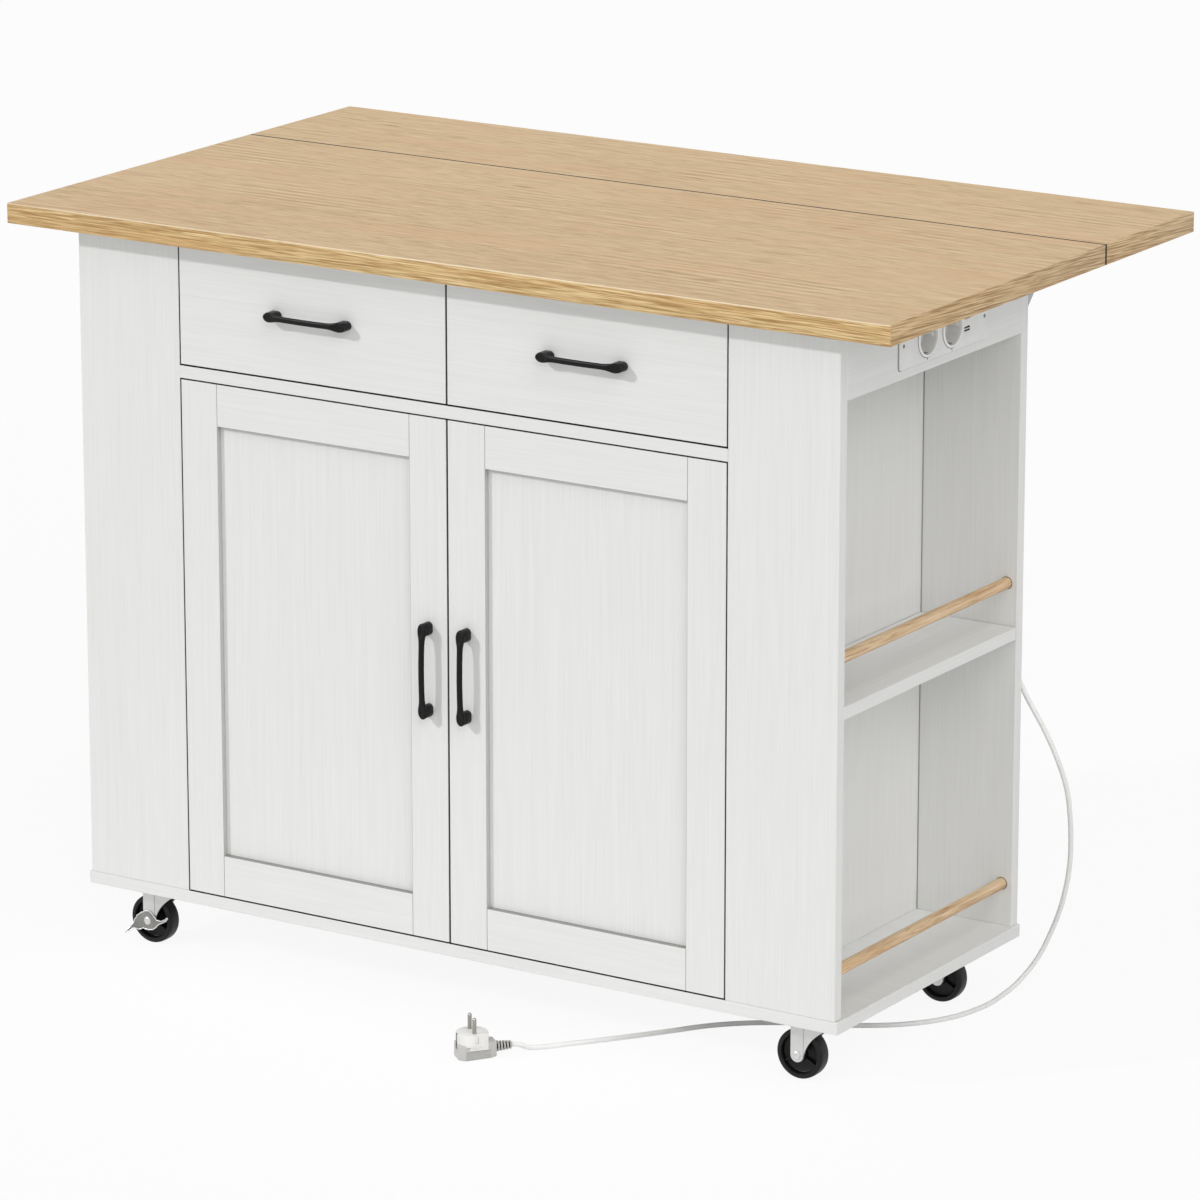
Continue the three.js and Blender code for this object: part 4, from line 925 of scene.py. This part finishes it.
def pull_work():
    """The pull along X with its feet on the plane y = 0, bowed towards -Y."""
    lobe_half = PULL_FOOT[0] / 2
    lobe_middle = PULL_LENGTH / 2 - lobe_half
    centre = PULL_REACH - PULL_THICK / 2
    work = bmesh.new()
    rings = []
    for k in range(PULL_STATIONS + 1):
        along = (PULL_LENGTH / 2 - PULL_END) * -math.cos(math.pi * k / PULL_STATIONS)
        off = abs(abs(along) - lobe_middle) / lobe_half
        if abs(along) < lobe_middle:
            swell = math.exp(-LOBE_FALL * off ** 2)
            width = PULL_WAIST + (PULL_LOBE - PULL_WAIST) * swell
            thick = PULL_THICK + LOBE_THICK * swell
        else:
            round_off = math.sqrt(max(1 - off ** 2, 0.0004))
            width = PULL_LOBE * round_off
            thick = (PULL_THICK + LOBE_THICK) * math.sqrt(round_off)
        reach = centre + PULL_BOW * (1 - (along / (PULL_LENGTH / 2)) ** 2)
        ring = []
        for cross, out in circle(1, PULL_SIDES):
            square = (abs(cross) ** SQUARENESS + abs(out) ** SQUARENESS) ** (-1 / SQUARENESS)
            across = width / 2 * cross * square
            front = thick / 2 * out * square
            if front > 0:
                oval = (((abs(along) - lobe_middle + 1) / DISH_HALF[0]) ** 2
                        + (across / DISH_HALF[1]) ** 2)
                front -= DISH_DEPTH * max(0.0, 1 - oval) ** 0.4
            ring.append(work.verts.new((along, -reach - front, across)))
        rings.append(ring)
    join_rings(work, rings)
    work.faces.new(rings[0])
    work.faces.new(list(reversed(rings[-1])))
    for side in (-1, 1):
        outline = rounded_outline(side * lobe_middle - lobe_half + 0.5,
                                  side * lobe_middle + lobe_half - 0.5, -PULL_FOOT[1] / 2,
                                  PULL_FOOT[1] / 2, PULL_FOOT[1] / 2 - 0.1, 8)
        add_plate(work, outline, centre, bevel=0.5, matrix=at((0, 0, 0), "X", 90))
    return work


for kind, turn in (("drawer", 0), ("door", 90)):
    for side in ("left", "right"):
        low, high = corners_mm(f"{kind}_pull_{side}")
        middle = (low + high) / 2
        pull = make_piece(f"{kind}_pull_{side}_cast", pull_work(), pull_black,
                          f"{kind}_{side}", smooth=40,
                          place=at((middle.x, high.y, middle.z), "Y", turn))
        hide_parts(f"{kind}_pull_{side}")

# ---------------------------------------------------------------- bay rods
# Turned rods of pale solid wood across the side bays, glued into bores at both ends.
# A thin brown ring painted round each one where it enters the back panel stands for the shade in
# that crease.

ROD_RADIUS = 7
ROD_TONES = ((176, 138, 98), (214, 184, 146), (230, 204, 168))
ROD_WARM = (218, 178, 134)
ROD_FIGURE = (0.5, 0.4, 0.0, 0.0)
# Painted shade: the brown ring where each rod meets the back panel
CREASE_SHADE_BROWN = (92, 80, 66)
CREASE_SHADE_WIDTH = 0.7
CREASE_SHADE_SPAN = (-0.3, 0.1)

rod_wood = oak_material("rod wood", ROD_TONES, ROD_WARM, ROD_FIGURE, turn=(0, 0, 90),
                        shift=(0.7, 0.2, 0.5))
crease_shade_brown = moulded_material("rod crease shade", CREASE_SHADE_BROWN, 0.6)
bay_back = corners_mm("back_panel")[0].y
shade_start, shade_stop = (bay_back + reach for reach in CREASE_SHADE_SPAN)

for level in ("lower", "upper"):
    for side in ("left", "right"):
        node = f"bay_rod_{level}_{side}"
        low, high = corners_mm(node)
        middle = (low + high) / 2
        lay = at((middle.x, 0, middle.z), "X", -90)
        dowel = form(add_turned, [(0, low.y), (ROD_RADIUS, low.y), (ROD_RADIUS, high.y),
                                  (0, high.y)], 40, lay)
        rod = make_piece(f"{node}_turned", dowel, rod_wood, "island")
        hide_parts(node)
        # A brown ring of painted shade round the rod at the back panel
        crease_ring = form(add_turned, [(ROD_RADIUS, shade_start), (ROD_RADIUS + CREASE_SHADE_WIDTH, shade_start),
                                 (ROD_RADIUS + CREASE_SHADE_WIDTH, shade_stop),
                                 (ROD_RADIUS, shade_stop)], 40, lay)
        make_piece(f"{node}_crease_shade", crease_ring, crease_shade_brown, "island")

# ---------------------------------------------------------------- door hinges
# Pressed and nickel-plated concealed hinges: a cup let into the door and held by two screws,
# and a cranked arm on a plate that is screwed to the divider.

CUP_SCREW_REACH = 23
ARM_SCREW_REACH = 14
ARM_SCREW_BACK = 22
ARM_PLATE = 2
SUNK = 0.1

hinge_nickel = moulded_material("hinge nickel", (188, 188, 186), 0.27, spread=0.12,
                                metallic=1.0, grain=500.0, relief=0.1)
screw_steel = moulded_material("screw steel", (178, 178, 176), 0.32, metallic=1.0, grain=700.0)


def add_screw(mesh_work, matrix, radius, rise):
    """Adds a domed screw head, recessed for the driver, on a face whose normal is local Z."""
    slot = radius * 0.22
    add_turned(mesh_work, [(0, 0), (radius, 0), (radius, rise * 0.35),
                           (radius * 0.86, rise * 0.75), (radius * 0.6, rise),
                           (slot * 1.6, rise), (slot, rise * 0.1), (0, rise * 0.1)], 20, matrix)


def screws_piece(name, places, radius, rise, body, material=screw_steel):
    """Screw heads of one size as one piece."""
    screws = bmesh.new()
    for place in places:
        add_screw(screws, place, radius, rise)
    return make_piece(name, screws, material, body)


for level in ("lower", "upper"):
    for side, way in (("left", -1), ("right", 1)):
        for part in ("cup", "arm"):
            dress(f"hinge_{part}_{level}_{side}", hinge_nickel)
        low, high = corners_mm(f"hinge_cup_{level}_{side}")
        middle = (low + high) / 2
        screws_piece(f"hinge_cup_screws_{level}_{side}", [
            at((middle.x, high.y - SUNK, middle.z + end * CUP_SCREW_REACH), "X", -90)
            for end in (-1, 1)], 3.2, 0.9, f"door_{side}")
        low, high = corners_mm(f"hinge_arm_{level}_{side}")
        middle = (low + high) / 2
        face = (high.x if way > 0 else low.x) - way * (ARM_PLATE - SUNK)
        screws_piece(f"hinge_plate_screws_{level}_{side}", [
            at((face, high.y - ARM_SCREW_BACK, middle.z + end * ARM_SCREW_REACH), "Y", -way * 90)
            for end in (-1, 1)], 3.2, 1.2, "island")

# ---------------------------------------------------------------- socket strip
# A white moulded face plate with two round earthed sockets and two flat charging ports.
# Each socket is a raised collar round a light grey cup with two pin holes, drawn as black discs
# of painted shade, two sprung earth clips above and below, and a guide rib on either side.
# Grey lines round the plate and the collars are painted shade, and a grey dot sits under each
# socket.

PLATE_FACE_X = 520
PLATE_THICK = 2.2
PLATE_CORNER = 4
PLATE_SCREWS = (8.5, 9)
COLLAR_RADIUS = 22.6
CUP_RADIUS = 19.8
CUP_DEPTH = 17
CUP_FLOOR = 3
CUP_PITCH = 55.3
CUP_SIDES = 48
FIRST_CUP = 63
CLIP_WIDTH = 5
CLIP_STEEL = 1.1
CLIP_REACH = CUP_RADIUS - 1.4
RIB_REACH = CUP_RADIUS - 1.1
RIB_HALF = (1.3, 2.3)
RIB_START = 2.5
HOLE_RADIUS = 2.6
HOLE_REACH = 9.5
DIMPLE_RADIUS = 1.1
# How far the painted shadow line reaches beyond the face plate
PLATE_SHADE_REACH = 0.9
PORT_FROM_CUP = 88.2
PORT_PITCH = 14.2
PORT_HALF = (6.5, 2.8)
PORT_WALL = 0.5
PORT_BACK = PLATE_FACE_X - 9.4
PORT_MOUTH = PLATE_FACE_X + 1.9

socket_white = moulded_material("socket white", (234, 234, 232), 0.36, grain=1100.0)
collar_white = moulded_material("collar white", (246, 246, 244), 0.3, grain=1100.0)
cup_grey = moulded_material("socket cup", (232, 231, 228), 0.45, grain=1000.0)
# Painted shade: grey lines round the plate and the collars; also the grey dot under each socket
shade_line_grey = moulded_material("shade line grey", (120, 120, 118), 0.6)
# Painted shade: the plate's screws are darker than the other screws, standing for their recesses
screw_shade_dark = moulded_material("plate screw, painted shade", (110, 110, 108), 0.4, metallic=0.7)
port_black = moulded_material("port black", (20, 20, 20), 0.5)
clip_metal = moulded_material("clip metal", (172, 170, 164), 0.3, metallic=1.0)

low, high = corners_mm("power_plate")
strip_middle = (low.z + high.z) / 2
cup_places = [low.y + FIRST_CUP + n * CUP_PITCH for n in range(2)]
port_places = [(cup_places[0] + PORT_FROM_CUP, strip_middle + n * PORT_PITCH / 2) for n in (-1, 1)]


def on_plate(y, z, lift=0.0):
    """A place on the island's right-hand face, with local Z pointing out of it."""
    return at((PLATE_FACE_X + lift, y, z), "Z", 90) @ at((0, 0, 0), "X", 90)


cup_holes = [arc(y, strip_middle, CUP_RADIUS, 0, 360 - 360 / CUP_SIDES, CUP_SIDES - 1)
             for y in cup_places]
port_holes = [rounded_outline(y - PORT_HALF[0], y + PORT_HALF[0], z - PORT_HALF[1],
                              z + PORT_HALF[1], 0.6, 2) for y, z in port_places]


def add_face(mesh_work, reach, thickness, bevel=0.0):
    """Adds the face plate's outline with its holes, wider by a reach all round."""
    outline = rounded_outline(low.y - reach, high.y + reach, low.z - reach, high.z + reach,
                              PLATE_CORNER + reach, 6)
    add_plate(mesh_work, outline, thickness, bevel=bevel, holes=cup_holes + port_holes,
              matrix=on_plate(0, 0))


face_plate = make_piece("socket_face_plate", form(add_face, 0, PLATE_THICK, 0.6), socket_white,
                        "island")
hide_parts("power_plate")

cups, collars, clips, shade_lines_and_dots, hole_shade_and_port_backs = (bmesh.new() for _ in range(5))
# A grey rim just outside the plate's edge: its painted shadow
add_face(shade_lines_and_dots, PLATE_SHADE_REACH, 0.5)
for y in cup_places:
    spot = on_plate(y, strip_middle)
    add_turned(collars, [(CUP_RADIUS - 0.1, 0.4), (CUP_RADIUS - 0.1, 3.4), (CUP_RADIUS + 0.4, 3.8),
                         (COLLAR_RADIUS - 0.9, 3.8), (COLLAR_RADIUS, 2.9), (COLLAR_RADIUS, 2.0),
                         (COLLAR_RADIUS, 0.4)], 56, spot)
    add_turned(cups, [(CUP_RADIUS - 0.15, 1.2), (CUP_RADIUS - 0.15, -CUP_DEPTH + 1.2),
                      (CUP_RADIUS - 1.2, -CUP_DEPTH), (0, -CUP_DEPTH), (0, -CUP_DEPTH - CUP_FLOOR),
                      (CUP_RADIUS + 1.2, -CUP_DEPTH - CUP_FLOOR), (CUP_RADIUS + 1.2, -0.8),
                      (CUP_RADIUS + 0.2, 0.4)], 56, spot)
    # A grey ring where each collar meets the plate: painted shade of the crease
    joint = (PLATE_THICK, PLATE_THICK + 0.12)
    add_turned(shade_lines_and_dots, [(COLLAR_RADIUS - 0.2, joint[0]), (COLLAR_RADIUS + 0.8, joint[0]),
                          (COLLAR_RADIUS + 0.8, joint[1]), (COLLAR_RADIUS - 0.2, joint[1])],
               56, spot)
    # A small grey dot under each socket
    add_turned(shade_lines_and_dots, [(0, PLATE_THICK), (DIMPLE_RADIUS, PLATE_THICK),
                          (DIMPLE_RADIUS, PLATE_THICK + 0.14), (0, PLATE_THICK + 0.14)], 16,
               on_plate(y - 1.5, strip_middle - COLLAR_RADIUS - 1.9))
    for end in (-1, 1):
        add_plate(clips, rounded_outline(-CLIP_WIDTH / 2, CLIP_WIDTH / 2, -CUP_DEPTH, 0.6, 0.8, 3),
                  CLIP_STEEL, bevel=0.3,
                  matrix=spot @ at((0, end * CLIP_REACH + CLIP_STEEL / 2, 0), "X", 90))
        rib = y + end * RIB_REACH
        add_board(cups, (PLATE_FACE_X - CUP_DEPTH, rib - RIB_HALF[0], strip_middle - RIB_HALF[1]),
                  (PLATE_FACE_X - RIB_START, rib + RIB_HALF[0], strip_middle + RIB_HALF[1]), 0.4)
        # Each pin hole is a thin black disc on the cup's floor: painted shade of the hole
        add_turned(hole_shade_and_port_backs, [(0, 0), (HOLE_RADIUS, 0), (HOLE_RADIUS, 0.15), (0, 0.15)], 20,
                   on_plate(y + end * HOLE_REACH, strip_middle, -CUP_DEPTH + 0.02))
make_piece("socket_collars", collars, collar_white, "island", smooth=30)
make_piece("socket_cups", cups, cup_grey, "island", smooth=30)
make_piece("socket_earth_clips", clips, clip_metal, "island")
make_piece("socket_shade_lines_and_dots", shade_lines_and_dots, shade_line_grey, "island")

linings, tongues = bmesh.new(), bmesh.new()
wide, tall = PORT_HALF
for y, z in port_places:
    add_board(hole_shade_and_port_backs, (PORT_BACK - 0.6, y - wide - 0.4, z - tall - 0.4),
              (PORT_BACK, y + wide + 0.4, z + tall + 0.4))
    for way in (-1, 1):
        add_board(linings, (PORT_BACK, y - wide, z + way * tall),
                  (PORT_MOUTH, y + wide, z + way * (tall - PORT_WALL)))
        add_board(linings, (PORT_BACK, y + way * wide, z - tall),
                  (PORT_MOUTH, y + way * (wide - PORT_WALL), z + tall))
    add_board(tongues, (PORT_BACK, y - 6.3, z - 0.85), (PORT_MOUTH + 0.2, y + 6.3, z + 0.35), 0.2)
# Pin holes drawn as black discs of painted shade, and the black backs of the ports
make_piece("socket_hole_shade_and_port_backs", hole_shade_and_port_backs, port_black, "island")
make_piece("charging_port_linings", linings, port_black, "island")
make_piece("charging_port_tongues", tongues, socket_white, "island")
dress("socket_block", cup_grey)
# The plate's screws take the dark painted-shade screw finish
screws_piece("socket_plate_screws", [
    on_plate(y, strip_middle, PLATE_THICK - SUNK)
    for y in (low.y + PLATE_SCREWS[0], high.y - PLATE_SCREWS[1])], 2.3, 0.5, "island",
    screw_shade_dark)

# ---------------------------------------------------------------- leaf brackets
# Zinc-plated folding brackets: a channel on the back of the cabinet, an arm under the leaf
# and a stay between them, whose roller runs down the channel when the leaf folds.

BRACKET_STEEL = 2
WALL_SCREWS = (60, 150, 275)
ARM_SCREWS = (28, 60, 128)

bracket_zinc = moulded_material("bracket zinc", (176, 179, 183), 0.36, spread=0.14, tint=0.12,
                                grain=260.0, metallic=0.85)

for side in ("left", "right"):
    for part in ("wall", "arm", "stay"):
        dress(f"bracket_{part}_{side}", bracket_zinc)
    low, high = corners_mm(f"bracket_wall_{side}")
    middle = (low + high) / 2
    screws_piece(f"bracket_wall_screws_{side}", [
        at((middle.x, low.y + BRACKET_STEEL - SUNK, high.z - drop), "X", -90)
        for drop in WALL_SCREWS], 3.0, 0.3, "island")
    low, high = corners_mm(f"bracket_arm_{side}")
    screws_piece(f"bracket_arm_screws_{side}", [
        at((middle.x, low.y + along, high.z - BRACKET_STEEL + SUNK), "X", 180)
        for along in ARM_SCREWS], 3.0, 0.9, "leaf")

# ---------------------------------------------------------------- castors
# Swivel castors: a black moulded wheel with three spokes in a pressed zinc fork, which turns
# under a screwed steel plate. The two on the left have a stamped brake lever on the axle,
# its leaf painted darker as shade and its rolled rim lighter as a highlight.

WHEEL_RADIUS = 30
# Half of the wheel's section, as radius and distance from its middle plane
WHEEL_SECTION = [(3.2, 10.2), (7.6, 10.2), (8.6, 9.4), (9.2, 2.6), (10.2, 2.0), (21.8, 2.0),
                 (22.8, 2.6), (23.5, 8.4), (24.1, 9.0), (27.0, 9.0), (28.6, 8.6), (29.5, 7.4),
                 (29.9, 5.2), (30.0, 2.6)]
SPOKES = (90, 210, 330)
SPOKE_RADII = (8.45, 23.95)
SPOKE_DEPTHS = (1.7, 6.7)
SPOKE_HALF = 1.1
TRAIL = 15
FORK_HALF = 13
FORK_STEEL = 2.4
STRIP_HALF = 8.3
STRIP_STEEL = 1.6
STRIP_RISE = 1
CROWN_TOP = 68.5
CROWN_REACH = 24
CROWN_BEND = (-TRAIL + STRIP_HALF + 5, 52)
RACE = [(0, 67.5), (19, 67.5), (19, 69.2), (18.2, 70.4), (16, 71.4), (15, 72.9), (0, 72.9)]
BRAKE_REACH = 2.2
LEVER_UPPER = ((-33, -6.2), (-28, -3.4), (-23, 0.2), (-18, 5.6), (-13.5, 9.4), (-6, 11.4),
               (0, 12.2), (4.5, 11.6), (8, 8), (10.4, 2.4), (13, -2.2), (20, -4.0), (28, -3.0),
               (36, -0.6))
LEVER_LOWER = ((-33, -8), (-28, -6.8), (-23, -5.0), (-16.5, -8.2), (-10.9, -7.6), (-7, -9.6),
               (-3, -11.2), (2.8, -11.8), (8, -10.4), (11.6, -8.2), (16, -7.0), (20, -6.4),
               (28, -5.0), (36, -2.2))
LEVER_STEEL = 1.1
LEVER_RIM = 0.75
LEVER_COLUMNS, LEVER_ROWS = 66, 14
LEVER_DOME = 1.3
LEVER_OUT = 15.0
LEVER_BEND = 7.2
BEND_START = 14
BEND_RUN = 20
LEVER_TILT = -19
RIM_STEPS = 96
PLATE_HALF = (31.2, 25.2)
PLATE_BOTTOM = 73.05
PLATE_STEEL = 2.5
SCREW_REACH = (25, 19)
CASTOR_SPOTS = {
    "front_left": ((-444, -277.75), True),
    "front_right": ((468, -277.75), False),
    "rear_left": ((-444, 42.25), True),
    "rear_right": ((468, 42.25), False),
}

wheel_nylon = moulded_material("wheel nylon", (16, 16, 16), 0.36, spread=0.14, tint=0.25,
                               grain=700.0, relief=0.5, specular=0.26)
fork_zinc = moulded_material("fork zinc", (214, 214, 213), 0.34, spread=0.14, tint=0.1,
                             grain=240.0, relief=0.15, metallic=0.75)
# Painted highlight: the lever's rolled rim is much lighter than its leaf
rim_zinc_highlight = moulded_material("lever rim zinc, painted highlight", (226, 226, 224), 0.3, metallic=0.6, relief=0.05)
# Painted shade: the lever's leaf is a darker copy of the zinc
lever_zinc_shaded = moulded_material("lever zinc, painted shade", (150, 149, 146), 0.26, spread=0.14, tint=0.3,
                              grain=320.0, metallic=0.85)


def wheel_work():
    """The wheel about Y: a crowned tread, a rim, a thin web, three spokes each side and a hub."""
    work = bmesh.new()
    profile = [*WHEEL_SECTION, (WHEEL_RADIUS, 0.0), *[(r, -h) for r, h in reversed(WHEEL_SECTION)]]
    add_turned(work, profile, 72, at((0, 0, 0), "X", 90))
    for degrees in SPOKES:
        for way in (-1, 1):
            add_board(work, (SPOKE_RADII[0], way * SPOKE_DEPTHS[0], -SPOKE_HALF),
                      (SPOKE_RADII[1], way * SPOKE_DEPTHS[1], SPOKE_HALF), 0.5,
                      lay=at((0, 0, 0), "Y", -degrees))
    return work


def fork_side_outline():
    """One cheek of the fork in the XZ plane, measured from the swivel axis."""
    outline = arc(-TRAIL, WHEEL_RADIUS, STRIP_HALF, 180, 360, 16)
    start = Vector((-TRAIL + STRIP_HALF, WHEEL_RADIUS))
    pull_to = Vector(CROWN_BEND)
    end = Vector((CROWN_REACH, CROWN_TOP - FORK_STEEL))
    for i in range(1, 15):
        t = i / 14
        outline.append(tuple((1 - t) ** 2 * start + 2 * t * (1 - t) * pull_to + t * t * end))
    return outline + [(CROWN_REACH, CROWN_TOP), (-TRAIL - STRIP_HALF, CROWN_TOP)]


def fork_work(braked):
    """The fork with its raised strips, its crown, the ball race and the riveted axle."""
    work = bmesh.new()
    strip_half = STRIP_HALF - 0.1
    strip = arc(-TRAIL, WHEEL_RADIUS, strip_half, 180, 360, 16) + [
        (-TRAIL + strip_half, CROWN_TOP - 2), (-TRAIL - strip_half, CROWN_TOP - 2)]
    for way in (-1, 1):
        for outline, face, steel, bevel, segments in (
                (fork_side_outline(), FORK_HALF, FORK_STEEL, 0.5, 2),
                (strip, FORK_HALF + STRIP_RISE, STRIP_STEEL, 0.7, 3)):
            start = max(way * face, way * (face - steel))
            add_plate(work, outline, steel, bevel, segments, at((0, start, 0), "X", 90))
    add_board(work, (-TRAIL - STRIP_HALF, -FORK_HALF, CROWN_TOP - FORK_STEEL),
              (CROWN_REACH, FORK_HALF, CROWN_TOP), 0.7, 3)
    add_turned(work, RACE, 48)
    front = FORK_HALF + STRIP_RISE
    rear = front + (BRAKE_REACH if braked else 0.0)
    add_turned(work, [(0, -front - 1.8), (3.6, -front - 1.8), (4.8, -front - 1.1),
                      (5, -front + 0.3), (3, -front + 0.3), (3, rear), (5, rear),
                      (4.8, rear + 1.1), (3.6, rear + 1.8), (1.6, rear + 1.4), (0, rear + 1.4)],
               32, at((-TRAIL, 0, WHEEL_RADIUS), "X", 90))
    return work


def lever_edge(points, x):
    """The height of an outline at x, with a smooth run between its points."""
    for (x0, z0), (x1, z1) in zip(points, points[1:]):
        if x <= x1:
            t = (x - x0) / (x1 - x0)
            return z0 + (z1 - z0) * t * t * (3 - 2 * t)
    return points[-1][1]


def lever_face(x):
    """How far out the leaf stands at x: its two ends are bent away from the wheel."""
    return -LEVER_OUT - LEVER_BEND * max(0.0, (abs(x) - BEND_START) / BEND_RUN) ** 1.4


def lever_spans(steps):
    """Places along the lever, from its left end to its right one."""
    left, right = LEVER_UPPER[0][0], LEVER_UPPER[-1][0]
    return [left + (right - left) * i / steps for i in range(steps + 1)]


def lever_leaf_work():
    """The lever about its axle: a stamped leaf with a dome round the rivet."""
    work = bmesh.new()
    grid = []
    for x in lever_spans(LEVER_COLUMNS):
        upper, lower = lever_edge(LEVER_UPPER, x), lever_edge(LEVER_LOWER, x)
        half, centre = (upper - lower) / 2, (upper + lower) / 2
        row = []
        for j in range(LEVER_ROWS + 1):
            v = (j / LEVER_ROWS - 0.5) * 2
            z = centre + half * v
            dome = LEVER_DOME * math.exp(-(x * x + z * z) / 30.0)
            y = lever_face(x) - dome - 0.1 * half * (1 - v * v)
            row.append(work.verts.new((x, y, z)))
        grid.append(row)
    faces = [work.faces.new((near[j], far[j], far[j + 1], near[j + 1]))
             for near, far in zip(grid, grid[1:]) for j in range(LEVER_ROWS)]
    bmesh.ops.recalc_face_normals(work, faces=faces)
    if faces[0].normal.y > 0:
        bmesh.ops.reverse_faces(work, faces=faces)
    bmesh.ops.solidify(work, geom=faces, thickness=LEVER_STEEL)
    return work


def lever_rim_work():
    """The rolled rim of the lever: a round bead that follows its whole outline."""
    spans = lever_spans(RIM_STEPS)
    line = [(x, lever_edge(LEVER_UPPER, x)) for x in spans]
    line += [(x, lever_edge(LEVER_LOWER, x)) for x in reversed(spans)]
    path = [Vector((x, lever_face(x) - 0.1, z)) for x, z in line]
    work = bmesh.new()
    rings = []
    for k, point in enumerate(path):
        ahead = (path[(k + 1) % len(path)] - path[k - 1]).normalized()
        across = ahead.cross(Vector((0, 1, 0))).normalized()
        up = across.cross(ahead)
        rings.append([work.verts.new(point + c * across + s * up) for c, s in circle(LEVER_RIM, 8)])
    join_rings(work, rings, closed=True)
    return work


for spot, ((x, y), braked) in CASTOR_SPOTS.items():
    swivel = at((x, y, 0))
    axle = at((x - TRAIL, y, WHEEL_RADIUS))
    fork = make_piece(f"fork_{spot}", fork_work(braked), fork_zinc, f"fork_{spot}",
                      place=swivel)
    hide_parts(f"caster_fork_{spot}")
    wheel = make_piece(f"wheel_{spot}", wheel_work(), wheel_nylon, f"wheel_{spot}",
                       smooth=40, place=axle)
    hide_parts(f"caster_wheel_{spot}")
    if braked:
        tilt = axle @ at((0, 0, 0), "Y", LEVER_TILT)
        lever = make_piece(f"lever_{spot}", lever_leaf_work(), lever_zinc_shaded, f"brake_{spot}",
                           smooth=50, place=tilt)
        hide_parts(f"brake_lever_{spot}")
        # The rim takes the painted highlight zinc
        make_piece(f"lever_rim_{spot}", lever_rim_work(), rim_zinc_highlight, f"brake_{spot}",
                   place=tilt)
    outline = rounded_outline(x - PLATE_HALF[0], x + PLATE_HALF[0], y - PLATE_HALF[1],
                              y + PLATE_HALF[1], 5, 6)
    top = form(add_plate, outline, PLATE_STEEL, bevel=0.5, matrix=at((0, 0, PLATE_BOTTOM)))
    for dx in (-SCREW_REACH[0], SCREW_REACH[0]):
        for dy in (-SCREW_REACH[1], SCREW_REACH[1]):
            add_screw(top, at((x + dx, y + dy, PLATE_BOTTOM + 0.05), "X", 180), 3.4, 1.4)
    make_piece(f"caster_plate_{spot}", top, fork_zinc, "island")
